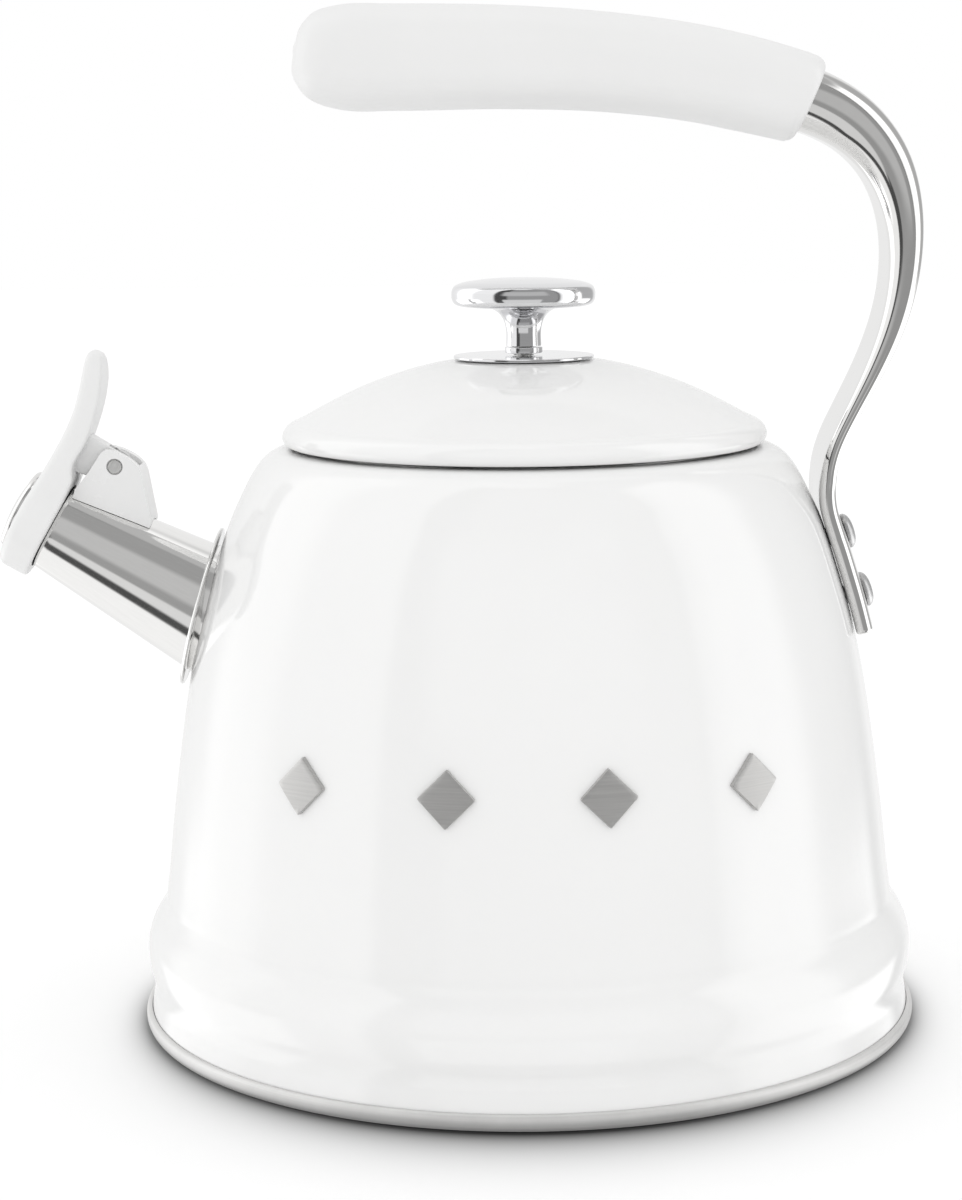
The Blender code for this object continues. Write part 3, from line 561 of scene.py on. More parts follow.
def grain_group():
    """Small bumps of an even size, such as orange peel on enamel or moulded texture."""
    wires, given, out = effect(
        "kettle_grain",
        [("Place", POINT, None), ("Scale", FLOAT, 400.0), ("Coarse", FLOAT, 0.3)],
        [("Height", FLOAT)],
    )
    small = wires.noise(given.outputs["Place"], given.outputs["Scale"], 2.0, 0.5)
    wide = wires.noise(given.outputs["Place"], wires.sum(
        "DIVIDE", given.outputs["Scale"], 6.0), 1.0, 0.5)
    node = wires.add("ShaderNodeMix", data_type="FLOAT")
    wires.feed(node.inputs[0], given.outputs["Coarse"])
    wires.feed(node.inputs[2], small)
    wires.feed(node.inputs[3], wide)
    wires.feed(out.inputs["Height"], node.outputs[0])


def brushing_group():
    """Fine lines drawn out along one direction. Stretch squeezes the place along it."""
    wires, given, out = effect(
        "kettle_brushing",
        [("Place", POINT, None), ("Stretch", POINT, (1.0, 1.0, 0.02)), ("Scale", FLOAT, 1500.0)],
        [("Value", FLOAT)],
    )
    drawn = wires.add("ShaderNodeVectorMath", operation="MULTIPLY")
    wires.feed(drawn.inputs[0], given.outputs["Place"])
    wires.feed(drawn.inputs[1], given.outputs["Stretch"])
    lines = wires.noise(drawn.outputs[0], given.outputs["Scale"], 3.0, 0.65)
    wires.feed(out.inputs["Value"], wires.spread(lines, 0.3, 0.7))


def turning_group():
    """Fine rings round the Z axis, as a lathe or a polishing wheel leaves them."""
    wires, given, out = effect(
        "kettle_turning",
        [("Place", POINT, None), ("Scale", FLOAT, 2500.0)],
        [("Value", FLOAT)],
    )
    parts = wires.add("ShaderNodeSeparateXYZ", {"Vector": given.outputs["Place"]})
    flat = wires.sum("MULTIPLY", parts.outputs[0], parts.outputs[0])
    flat = wires.sum("MULTIPLY_ADD", parts.outputs[1], parts.outputs[1], flat)
    radius = wires.sum("SQRT", flat)
    turn = wires.sum("ARCTAN2", parts.outputs[1], parts.outputs[0])
    ring = wires.add("ShaderNodeCombineXYZ", {
        "X": radius, "Y": parts.outputs[2], "Z": wires.sum("MULTIPLY", turn, 0.0004),
    })
    lines = wires.noise(ring.outputs[0], given.outputs["Scale"], 3.0, 0.6)
    wires.feed(out.inputs["Value"], wires.spread(lines, 0.3, 0.7))


def wear_group():
    """1 along convex edges, broken up, and 0 on flat faces."""
    wires, given, out = effect(
        "kettle_edge_wear",
        [("Place", POINT, None), ("Scale", FLOAT, 500.0), ("Start", FLOAT, 0.53)],
        [("Mask", FLOAT)],
    )
    edge = wires.add("ShaderNodeNewGeometry").outputs["Pointiness"]
    broken = wires.noise(given.outputs["Place"], given.outputs["Scale"], 4.0, 0.6)
    lifted = wires.sum("MULTIPLY_ADD", broken, 0.05, wires.sum("SUBTRACT", edge, 0.025))
    wires.feed(out.inputs["Mask"], wires.spread(
        lifted, given.outputs["Start"], wires.sum("ADD", given.outputs["Start"], 0.07)))


def use(wires, name, output, **inputs):
    """Places a node group in a material with its own values and returns one of its outputs."""
    node = wires.add("ShaderNodeGroup", node_tree=bpy.data.node_groups[f"kettle_{name}"])
    for label, value in inputs.items():
        wires.feed(node.inputs[label.capitalize()], value)
    return node.outputs[output]


def tinted(base, amount):
    return (*[min(channel * amount, 1.0) for channel in base], 1.0)


def new_finish(name, metallic=0.0, ior=1.5):
    made = bpy.data.materials.new(name)
    made.use_nodes = True
    shader = made.node_tree.nodes["Principled BSDF"]
    shader.inputs["Metallic"].default_value = metallic
    shader.inputs["IOR"].default_value = ior
    return made, Wiring(made.node_tree), shader


def bump(wires, shader, height, strength, distance):
    node = wires.add("ShaderNodeBump", {
        "Strength": strength, "Distance": distance, "Height": height,
    })
    wires.feed(shader.inputs["Normal"], node.outputs[0])


def enamel_finish(base):
    """Fired glass over steel: clear gloss with a faint orange peel and a cooler tone in it."""
    made, wires, shader = new_finish("kettle_enamel", ior=1.52)
    spot = wires.spot()
    tone = use(wires, "mottle", "Value", place=spot, scale=14.0)
    wires.feed(shader.inputs["Base Color"], wires.blend(
        tone, tinted(base, 0.988), tinted(base, 1.006)))
    wires.feed(shader.inputs["Roughness"], use(
        wires, "mottle", "Value", place=spot, scale=55.0, low=0.05, high=0.11))
    peel = use(wires, "grain", "Height", place=spot, scale=420.0, coarse=0.6)
    bump(wires, shader, peel, 0.10, 0.05 * MM)
    return made


def polished_finish(name, base, low, high, stretch=None, lines=0.05):
    """Polished metal with smears and hairlines. Rings round Z unless the lines are stretched."""
    made, wires, shader = new_finish(name, metallic=1.0)
    spot = wires.spot()
    if stretch is None:
        drawn = use(wires, "turning", "Value", place=spot, scale=2600.0)
    else:
        drawn = use(wires, "brushing", "Value", place=spot, stretch=stretch, scale=1700.0)
    smear = use(wires, "mottle", "Value", place=spot, scale=38.0, low=low, high=high)
    worn = use(wires, "edge_wear", "Mask", place=spot)
    rough = wires.sum("MULTIPLY_ADD", drawn, (high - low) * 0.5, smear)
    wires.feed(shader.inputs["Roughness"], rough)
    shade = wires.blend(drawn, tinted(base, 0.965), tinted(base, 1.0))
    wires.feed(shader.inputs["Base Color"], wires.blend(
        wires.sum("MULTIPLY", worn, 0.5), shade, tinted(base, 1.06)))
    bump(wires, shader, drawn, lines, 0.01 * MM)
    return made


def satin_finish(name, base, stretch=None, scale=1900.0, rough=(0.26, 0.40)):
    """Satin metal whose lines are plain to see."""
    made, wires, shader = new_finish(name, metallic=1.0)
    spot = wires.spot()
    if stretch is None:
        drawn = use(wires, "turning", "Value", place=spot, scale=scale)
    else:
        drawn = use(wires, "brushing", "Value", place=spot, stretch=stretch, scale=scale)
    wires.feed(shader.inputs["Base Color"], wires.blend(
        drawn, tinted(base, 0.90), tinted(base, 1.05)))
    wires.feed(shader.inputs["Roughness"], wires.spread(drawn, 0.0, 1.0, *rough))
    bump(wires, shader, drawn, 0.25, 0.02 * MM)
    return made


def base_finish(base):
    """Satin steel, with painted contact shade that darkens it towards the edge it stands on."""
    made, wires, shader = new_finish("kettle_base_steel", metallic=0.45)
    spot = wires.spot()
    drawn = use(wires, "turning", "Value", place=spot, scale=1500.0)
    height = wires.add("ShaderNodeSeparateXYZ", {"Vector": spot}).outputs[2]
    # painted contact shade: the base colour fades towards black below 3.4 mm, broken by a faint
    # cloud
    painted_contact_shade = wires.spread(height, 0.0, 3.4 * MM, 0.10, 1.0)
    cloud = use(wires, "mottle", "Value", place=spot, scale=70.0, low=0.92, high=1.0)
    shade = wires.blend(drawn, tinted(base, 0.93), tinted(base, 1.03))
    wires.feed(shader.inputs["Base Color"], wires.blend(
        wires.sum("MULTIPLY", painted_contact_shade, cloud), BLACK, shade))
    wires.feed(shader.inputs["Roughness"], wires.spread(drawn, 0.0, 1.0, 0.38, 0.5))
    bump(wires, shader, drawn, 0.2, 0.02 * MM)
    return made


def mould_line(wires, spot):
    """0 in the narrow seams of the grip's closed end and 1 beside them."""
    x, _, z = wires.add("ShaderNodeSeparateXYZ", {"Vector": spot}).outputs
    past = wires.sum("LESS_THAN", x, SEAM_X)
    level = wires.sum("MULTIPLY", past, wires.sum("COMPARE", z, SEAM_Z, 0.16 * MM))
    above = wires.sum("GREATER_THAN", z, SEAM_Z)
    upright = wires.sum("MULTIPLY", above, wires.sum("COMPARE", x, SEAM_X, 0.12 * MM))
    return wires.sum("SUBTRACT", 1.0, wires.sum("MAXIMUM", level, upright))


def plastic_finish(name, base, rough, grain, seams=False):
    """Moulded white plastic: fine even texture, faint cloudiness, edges handled smoother."""
    made, wires, shader = new_finish(name, ior=1.46)
    spot = wires.spot()
    tone = use(wires, "mottle", "Value", place=spot, scale=22.0)
    worn = use(wires, "edge_wear", "Mask", place=spot, start=0.52)
    wires.feed(shader.inputs["Base Color"], wires.blend(
        tone, tinted(base, 0.985), tinted(base, 1.008)))
    cloud = use(wires, "mottle", "Value", place=spot, scale=60.0, low=rough[0], high=rough[1])
    wires.feed(shader.inputs["Roughness"], wires.sum("MULTIPLY_ADD", worn, -0.08, cloud))
    peel = use(wires, "grain", "Height", place=spot, scale=grain, coarse=0.15)
    if seams:
        peel = wires.sum("MULTIPLY_ADD", mould_line(wires, spot), 2.0, peel)
    bump(wires, shader, peel, 0.12, 0.03 * MM)
    return made


def rivet_finish(base):
    """Cold-headed rivets: matt, with faint hammer marks."""
    made, wires, shader = new_finish("kettle_rivet", metallic=1.0)
    spot = wires.spot()
    tone = use(wires, "mottle", "Value", place=spot, scale=260.0)
    wires.feed(shader.inputs["Base Color"], wires.blend(
        tone, tinted(base, 0.86), tinted(base, 1.05)))
    wires.feed(shader.inputs["Roughness"], wires.spread(tone, 0.0, 1.0, 0.34, 0.5))
    marks = use(wires, "grain", "Height", place=spot, scale=900.0, coarse=0.5)
    bump(wires, shader, marks, 0.35, 0.06 * MM)
    return made


def rubber_finish(base):
    made, wires, shader = new_finish("kettle_rubber")
    spot = wires.spot()
    dust = use(wires, "mottle", "Value", place=spot, scale=300.0)
    wires.feed(shader.inputs["Base Color"], wires.blend(
        dust, tinted(base, 1.0), tinted(base, 1.7)))
    wires.feed(shader.inputs["Roughness"], wires.spread(dust, 0.0, 1.0, 0.55, 0.75))
    bump(wires, shader, use(wires, "grain", "Height", place=spot, scale=2400.0, coarse=0.2),
         0.2, 0.03 * MM)
    return made


def surface(name):
    return bpy.data.materials[f"kettle_{name}"]


# ---------------------------------------------------------------- body, base and ornaments

def settings():
    return bpy.context.scene.kettle


def wall_line():
    """The body's wall as (radius, height) points, evened out for clean reflections."""
    return relaxed(smooth(scaled(BODY_WALL_LINE), 6), 3)


def body_radius(height):
    line = [(point.y, point.x) for point in wall_line()]
    return height_at(line, height)


def body_mesh():
    sizes = settings().body
    fillet, floor = sizes.foot_fillet, sizes.floor_height
    centre = Vector((sizes.foot_radius - fillet, floor + fillet))
    corner = arc(centre, fillet, -90, 0, 8)
    lip = Vector((sizes.mouth_radius + 1.5 * MM, BODY_WALL_LINE[-1][1] * MM - 1.5 * MM))
    neck = arc(lip, 1.5 * MM, 90, 180, 5)
    neck.append(Vector((sizes.mouth_radius, neck[-1].y - 4.5 * MM)))
    side = [*corner, *wall_line(), *neck[1:]]
    inner = [point - normal * sizes.wall for point, normal in zip(side, normals(side))]
    start, end = Vector((0.0, floor)), Vector((0.0, floor + sizes.wall))
    floor_steps = [Vector((side[0].x * k / 6, floor)) for k in range(1, 6)]
    floor_inner = [Vector((point.x, end.y)) for point in floor_steps]
    inner[0].y = end.y
    outline = [start, *floor_steps, *side, *inner[::-1], *floor_inner[::-1], end]
    return turned("kettle_body", outline, closed=False)


def base_mesh():
    radius = settings().body.base_radius
    rim = smooth([
        Vector((radius - x * MM, z * MM)) for x, z in
        ((2.4, 0.0), (0.9, 0.35), (0.1, 1.5), (0.0, 2.7), (0.3, 3.6), (0.9, 4.1), (1.42, 4.2))
    ], 5)
    inner = [Vector((rim[-1].x, 0.9 * MM)), Vector((0.0, 0.9 * MM))]
    rings = []
    for number in range(1, 7):
        groove = radius * (0.12 + 0.12 * number)
        rings += [
            Vector((groove - 0.5 * MM, 0.0)), Vector((groove, 0.22 * MM)),
            Vector((groove + 0.5 * MM, 0.0)),
        ]
    return turned("kettle_base", [Vector((0.0, 0.0)), *rings, *rim, *inner], closed=False)


def ornament_mesh(name, degrees):
    """A lozenge with chamfered edges, bent round the body."""
    sizes = settings().body
    reach, thick, middle = sizes.ornament_reach, sizes.ornament_thickness, sizes.ornament_height
    corners = [Vector((-reach, 0)), Vector((0, -reach)), Vector((reach, 0)), Vector((0, reach))]
    outline = rounded(corners, 0.5 * MM, 4)
    fuller = []
    for first, second in zip(outline, outline[1:] + outline[:1]):
        parts = max(1, int((second - first).length / (0.8 * MM)))
        fuller += [first.lerp(second, k / parts) for k in range(parts)]
    profile = [
        (1.0, 0.0), (1.0, thick - 0.3 * MM), (0.985, thick - 0.08 * MM), (0.955, thick),
        (0.75, thick), (0.5, thick), (0.25, thick), (0.02, thick),
    ]
    bottom = [(0.02, 0.0), (0.25, 0.0), (0.5, 0.0), (0.75, 0.0)]
    slope = (body_radius(middle + reach) - body_radius(middle - reach)) / (2 * reach)
    radius = body_radius(middle) + 0.05 * MM
    rings = []
    for share, out in [*bottom, *profile]:
        ring = []
        for point in fuller:
            turn = math.radians(degrees) + point.x * share / radius
            reach_out = radius + slope * point.y * share + out
            ring.append(Vector((
                math.sin(turn) * reach_out, -math.cos(turn) * reach_out,
                middle + point.y * share,
            )))
        rings.append(ring)
    return skinned(name, rings, sharp=28)


class KETTLE_OT_body(bpy.types.Operator):
    """Builds the enamelled body"""

    bl_idname = "kettle.body"
    bl_label = "Body"

    def execute(self, context):
        port = turned("port", [(0, SPOUT_ROOT), (PORT_RADIUS, SPOUT_ROOT),
                               (PORT_RADIUS, PORT_END), (0, PORT_END)], FINE, closed=False)
        port.transform(mouth_frame())
        mesh = carved(body_mesh(), [("DIFFERENCE", port)])
        piece("kettle_body", mesh, surface("enamel"), "kettle", ["body_shell"])
        return {"FINISHED"}


class KETTLE_OT_base(bpy.types.Operator):
    """Builds the steel base and finishes the core inside it"""

    bl_idname = "kettle.base"
    bl_label = "Base"

    def execute(self, context):
        piece("kettle_base", base_mesh(), surface("base_steel"), "kettle",
              ["base_cap"])
        refinished("base_core", surface("aluminium"))
        return {"FINISHED"}


class KETTLE_OT_ornaments(bpy.types.Operator):
    """Builds the four lozenges on the front"""

    bl_idname = "kettle.ornaments"
    bl_label = "Ornaments"

    def execute(self, context):
        for number, degrees in enumerate(ORNAMENT_ANGLES, 1):
            name = f"kettle_ornament_{number}"
            piece(name, ornament_mesh(name, degrees), surface("ornament"), "kettle",
                  [f"ornament_{number}"])
        return {"FINISHED"}


# ---------------------------------------------------------------- lid and knob

class KETTLE_OT_lid(bpy.types.Operator):
    """Builds the lid and the ring that enters the mouth"""

    bl_idname = "kettle.lid"
    bl_label = "Lid"

    def execute(self, context):
        sizes = settings().lid
        top = relaxed(smooth(scaled(LID_LINE), 6), 3)
        top += [Vector((top[-1].x * k / 4, top[-1].y)) for k in (3, 2, 1)]
        under = [point - normal * sizes.wall for point, normal in zip(top, normals(top))]
        centre = [Vector((0.0, top[-1].y)), Vector((0.0, top[-1].y - sizes.wall))]
        outline = [centre[1], *under[::-1], *top, centre[0]]
        dome = turned("kettle_lid", outline, closed=False)
        piece("kettle_lid", dome, surface("enamel"), "lid", ["lid_shell"])
        outer, inner = sizes.skirt_radius, sizes.skirt_radius - sizes.skirt_wall
        low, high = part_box("lid_skirt")[0].z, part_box("lid_skirt")[1].z
        roll = arc(Vector(((outer + inner) / 2, low + 0.4 * MM)), 0.4 * MM, 180, 360, 8)
        skirt = turned("kettle_lid_skirt", [*roll, Vector((outer, high)), Vector((inner, high))])
        piece("kettle_lid_skirt", skirt, surface("inner_steel"), "lid",
              ["lid_skirt"])
        return {"FINISHED"}


class KETTLE_OT_knob(bpy.types.Operator):
    """Builds the knob with its collar and plate, and finishes its screw"""

    bl_idname = "kettle.knob"
    bl_label = "Knob"

    def execute(self, context):
        line = relaxed(smooth(scaled(KNOB_LINE), 6), 2)
        knob = turned("kettle_knob", [Vector((0.0, line[0].y)), *line], FINE, closed=False)
        piece("kettle_knob", knob, surface("chrome"), "lid", ["knob"])
        low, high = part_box("knob_collar")[0].z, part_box("knob_collar")[1].z
        radius = settings().lid.collar_radius
        ring = rounded([Vector((3.0 * MM, low)), Vector((radius, low)), Vector((radius, high)),
                        Vector((3.0 * MM, high))], 0.25 * MM)
        piece("kettle_knob_collar", turned("kettle_knob_collar", ring, FINE),
              surface("chrome"), "lid", ["knob_collar"])
        self.build_plate()
        refinished("knob_screw", surface("inner_steel"))
        refinished("knob_washer", surface("inner_steel"))
        return {"FINISHED"}

    def build_plate(self):
        sizes = settings().lid
        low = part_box("knob_plate")[0].z
        high = low + sizes.plate_height
        edge = sizes.plate_radius
        rim = [
            Vector((edge - 0.2 * MM, low)), Vector((edge, low + 0.2 * MM)),
            Vector((edge, high - 0.2 * MM)), Vector((edge - 0.2 * MM, high)),
            Vector((edge * 0.6, high + 0.05 * MM)), Vector((2.6 * MM, high + 0.05 * MM)),
            Vector((2.6 * MM, low)),
        ]
        piece("kettle_knob_plate", turned("kettle_knob_plate", rim, ROUND), surface("chrome"),
              "lid", ["knob_plate"])


# ---------------------------------------------------------------- spout and whistle

def mouth_frame():
    """The mouth's frame: +Z out along the spout and +X up along the mouth's face."""
    sizes = settings().spout
    turn = Matrix.Rotation(sizes.rise - math.radians(90), 4, "Y")
    return Matrix.Translation(Vector(sizes.mouth)) @ turn


def spout_radius(out):
    sizes = settings().spout
    return sizes.mouth_radius - sizes.taper * out


def crossing(inside, low, high):
    """The place between low and high where inside(place) turns from true to false."""
    for _ in range(30):
        middle = (low + high) / 2
        if inside(middle):
            low = middle
        else:
            high = middle
    return (low + high) / 2


def spout_mesh():
    """The tapered tube. Its root ends on the body all round, and its lip is rounded."""
    sizes = settings().spout
    place, wall = mouth_frame(), sizes.wall
    end = -1.1 * MM
    steps = 30
    lip = arc(Vector((0.0, 0.0)), wall / 2, 0, 180, 8)
    wall_at = {}

    def in_body(radius, turn):
        def test(out):
            spot = place @ Vector((radius(out) * math.cos(turn), radius(out) * math.sin(turn), out))
            if not 0.02 < spot.z < 0.14:
                return False
            key = round(spot.z, 4)
            if key not in wall_at:
                wall_at[key] = body_radius(key)
            return math.hypot(spot.x, spot.y) < wall_at[key] + 0.02 * MM
        return test

    turns = [math.tau * i / FINE for i in range(FINE)]
    roots = [crossing(in_body(spout_radius, turn), SPOUT_ROOT, -0.02) for turn in turns]
    rows = []
    for k in range(steps + 1):
        rows.append([(spout_radius(o), o) for o in (
            root + (end - wall / 2 - root) * k / steps for root in roots)])
    top = end - wall / 2
    middle = spout_radius(top) - wall / 2
    for point in lip[1:-1]:
        rows.append([(middle + point.x, top + point.y)] * FINE)
    for k in range(steps, -1, -1):
        rows.append([(spout_radius(o) - wall, o) for o in (
            root + (end - wall / 2 - root) * k / steps for root in roots)])
    rings = [
        [Vector((r * math.cos(t), r * math.sin(t), out)) for (r, out), t in zip(row, turns)]
        for row in rows
    ]
    return skinned("kettle_spout", rings, endless=True)


def collar_frame():
    sizes = settings().spout
    height = sizes.collar_height
    turn = Matrix.Rotation(sizes.collar_lean - math.radians(90), 4, "Y")
    return Matrix.Translation((-body_radius(height), 0.0, height)) @ turn


def collar_mesh():
    """A flat ring with a rounded rim, whose hole fits the slanted spout."""
    sizes = settings().spout
    to_mouth = mouth_frame().inverted() @ collar_frame()
    low, high = 0.3 * MM, 1.2 * MM
    rim = sizes.collar_radius

    def hole(turn, height):
        def in_spout(radius):
            spot = to_mouth @ Vector((radius * math.cos(turn), radius * math.sin(turn), height))
            return math.hypot(spot.x, spot.y) < spout_radius(spot.z) + 0.06 * MM
        return crossing(in_spout, 0.006, 0.0205)

    rings = []
    for i in range(FINE):
        turn = math.tau * i / FINE
        inner_low, inner_high = hole(turn, low), hole(turn, high)
        profile = [
            (inner_low, low), (inner_high, high - 0.2 * MM), (inner_high + 0.25 * MM, high),
            ((inner_high + rim) / 2, high),
            (rim - 0.55 * MM, high), (rim - 0.2 * MM, high - 0.12 * MM), (rim, high - 0.5 * MM),
            (rim, low + 0.4 * MM), (rim - 0.2 * MM, low + 0.08 * MM), (rim - 0.5 * MM, low),
        ]
        rings.append([
            Vector((r * math.cos(turn), r * math.sin(turn), h)) for r, h in profile
        ])
    return skinned("kettle_spout_collar", rings, endless=True, sharp=50)


def across(out, up, y):
    return Vector((up, y, out))


def bore(radius, half_length, up, out, name="bore"):
    pin = turned(name, [(0, -half_length), (radius, -half_length), (radius, half_length),
                        (0, half_length)], 48, closed=False)
    return lying(pin, (up, 0.0, out))


def drum(radius, low, high, steps=FINE):
    return turned("drum", [(0, low), (radius, low), (radius, high), (0, high)], steps,
                  closed=False)


def spout_core(low, high):
    outline = [(0, low), (spout_radius(low) + 0.15 * MM, low),
               (spout_radius(high) + 0.15 * MM, high), (0, high)]
    return turned("spout_core", outline, FINE, closed=False)


def hinge_local():
    """The hinge as (up, out) in the mouth's frame."""
    spot = mouth_frame().inverted() @ HINGE
    return spot.x, spot.z


def bracket_mesh():
    sizes = settings().spout
    up, out = hinge_local()
    half = sizes.bracket_half_width
    outline = rounded(scaled(BRACKET_LINE), 1.2 * MM)
    block = plate("kettle_bracket", outline, -half, half, across)
    gap = sizes.lug_half_width + CHEEK_GAP
    slot = plate("slot", scaled([(0, 13.6), (0, 34), (-13.2, 34), (-13.2, 13.6)]), -gap, gap,
                 across)
    steps = [("DIFFERENCE", slot), ("DIFFERENCE", spout_core(-0.030, 0.005)),
             ("DIFFERENCE", bore(PIN_BORE, BORE_REACH, up, out))]
    for side in (-1, 1):
        sink = bore(2.05 * MM, 1.0 * MM, up, out)
        sink.transform(Matrix.Translation((0.0, side * half, 0.0)))
        steps.append(("DIFFERENCE", sink))
    return carved(block, steps, 0.35 * MM)


def pin_mesh():
    sizes = settings().spout
    end = sizes.bracket_half_width - 0.1 * MM
    half = smooth([Vector(p) for p in (
        (1.2 * MM, end - 0.75 * MM), (1.6 * MM, end - 0.7 * MM), (1.75 * MM, end - 0.45 * MM),
        (1.6 * MM, end - 0.08 * MM), (1.1 * MM, end + 0.02 * MM), (0.0, end - 0.04 * MM),
    )], 4)
    low = [Vector((point.x, -point.y)) for point in half[::-1]]
    return lying(turned("kettle_hinge_pin", [*low, *half], 64, closed=False))


def spring_curve():
    """Two close turns round the pin and a straight leg at each end."""
    steps, turns, wire, radius = 36, 2, 0.7 * MM, 2.2 * MM
    pitch = wire * 1.1
    points = []
    for i in range(steps * turns + 1):
        turn = math.tau * i / steps
        height = pitch * (i / steps - turns / 2)
        points.append((radius * math.sin(turn), height, radius * math.cos(turn)))
    points.insert(0, (-3.2 * MM, points[0][1], points[0][2]))
    points.append((3.4 * MM, points[-1][1], points[-1][2]))
    line = bpy.data.curves.new("kettle_spring", "CURVE")
    line.dimensions = "3D"
    line.bevel_depth = wire / 2
    line.bevel_resolution = 4
    line.use_fill_caps = True
    spline = line.splines.new("POLY")
    spline.points.add(len(points) - 1)
    for target, point in zip(spline.points, points):
        target.co = (*point, 1.0)
    return line


def flap_rings():
    """Rings across the flap from the cap's foot to the lever's tip, with rounded edges."""
    sizes = settings().spout
    front_round, back_round = sizes.front_round, sizes.back_round
    cap = sizes.cap_radius
    half = [Vector((math.cos(t), math.sin(t))) * cap for t in (
        math.radians(180 - CAP_SWEEP * (1 - math.cos(math.pi * i / (2 * CAP_STEPS))))
        for i in range(CAP_STEPS + 1))]
    plan = half + smooth([half[-1], *scaled(LEVER_PLAN)], 8)[1:]
    front = [(up * MM, out * MM) for up, out in FLAP_FRONT]
    back = [(up * MM, out * MM) for up, out in FLAP_BACK]
    front = [tuple(p) for p in smooth([Vector(p) for p in front], 5)]
    back = [tuple(p) for p in smooth([Vector(p) for p in back], 5)]
    last = len(plan) - 1
    rings = []
    for j, point in enumerate(plan):
        before, after = plan[max(j - 1, 0)], plan[min(j + 1, last)]
        if j in (0, last):
            inward = Vector((1.0 if j == 0 else -1.0, 0.0))
        else:
            along = (after - before).normalized()
            inward = Vector((along.y, -along.x))
        sides = []
        for face, rounding, sign in ((front, front_round, 1), (back, back_round, -1)):
            edge = []
            for k in range(7):
                turn = math.radians(90 * k / 6)
                spot = point + inward * rounding * (1 - math.cos(turn))
                y = max(spot.y, 0.0)
                out = height_at(face, spot.x) - sign * rounding * (1 - math.sin(turn))
                edge.append((spot.x, y, out))
            sides.append(edge)
        front_edge, back_edge = sides
        ring = [Vector(p) for p in front_edge]
        up, y, out = front_edge[-1]
        ring += [Vector((up, y * s, out)) for s in FACE_SHARES]
        ring += [Vector((p[0], -p[1], p[2])) for p in front_edge[::-1]]
        ring += [Vector((p[0], -p[1], p[2])) for p in back_edge]
        up, y, out = back_edge[-1]
        ring += [Vector((up, -y * s, out)) for s in FACE_SHARES]
        ring += [Vector(p) for p in back_edge[::-1]]
        rings.append(ring)
    return rings


def flap_mesh():
    sizes = settings().spout
    up, out = hinge_local()
    lug = sizes.lug_half_width
    eye = arc(Vector((out, up)), 3.2 * MM, -80, -262, 20)
    web = [Vector((2.2 * MM, 14.8 * MM)), Vector((-2.9 * MM, 15.8 * MM)), *eye,
           Vector((2.2 * MM, 25.2 * MM))]
    web_plate = plate("lug", web, -lug, lug, across, edge=0.3 * MM)
    slot = drum(5.2 * MM, -1.4 * MM, 1.4 * MM, 64)
    lying(slot, (up, 0.0, out))
    steps = [
        ("UNION", web_plate),
        ("DIFFERENCE", bore(PIN_BORE, BORE_REACH, up, out)),
        ("DIFFERENCE", slot),
        ("DIFFERENCE", drum(sizes.seat_radius, -0.003, 1.4 * MM)),
        ("DIFFERENCE", drum(CHAMBER_RADIUS, -0.003, 0.012)),
        ("DIFFERENCE", drum(sizes.disc_radius + 0.25 * MM, 6.8 * MM, 0.012)),
    ]
    shape = skinned("kettle_flap", flap_rings(), caps=False)
    return carved(shape, steps)


def face_disc_mesh():
    """A shallow dome with a rolled rim and the steam hole in its centre."""
    radius = settings().spout.disc_radius
    top = smooth([Vector(p) * MM for p in (
        (radius / MM, 7.1), (radius / MM, 8.2), (radius / MM - 0.35, 8.65),
        (radius / MM * 0.75, 9.2), (radius / MM * 0.48, 9.75), (2.4, 10.0), (1.5, 9.95),
        (1.0, 9.6),
    )], 5)
    low = [Vector((1.0 * MM, 9.2 * MM)), Vector((radius * 0.6, 8.8 * MM)),
           Vector((radius - 0.5 * MM, 7.7 * MM)), Vector((radius - 0.5 * MM, 7.1 * MM))]
    return turned("kettle_whistle_face", [*top, *low], FINE)


class KETTLE_OT_spout(bpy.types.Operator):
    """Builds the spout and the collar at its root"""

    bl_idname = "kettle.spout"
    bl_label = "Spout"

    def execute(self, context):
        piece("kettle_spout", spout_mesh(), surface("spout_steel"), "kettle",
              ["spout_tube"], mouth_frame())
        piece("kettle_spout_collar", collar_mesh(), surface("polished_steel"), "kettle",
              ["spout_collar"], collar_frame())
        return {"FINISHED"}


class KETTLE_OT_bracket(bpy.types.Operator):
    """Builds the hinge bracket on the spout, with its pin and spring"""

    bl_idname = "kettle.bracket"
    bl_label = "Hinge bracket"

    def execute(self, context):
        piece("kettle_bracket", bracket_mesh(), surface("plastic"), "kettle",
              ["spout_bracket"], mouth_frame())
        turn = mouth_frame().to_3x3().to_4x4()
        seat = Matrix.Translation(HINGE) @ turn
        piece("kettle_hinge_pin", pin_mesh(), surface("pin_steel"), "kettle",
              ["hinge_pin"], seat)
        piece("kettle_spring", spring_curve(), surface("inner_steel"), "kettle",
              ["flap_spring"], seat)
        return {"FINISHED"}


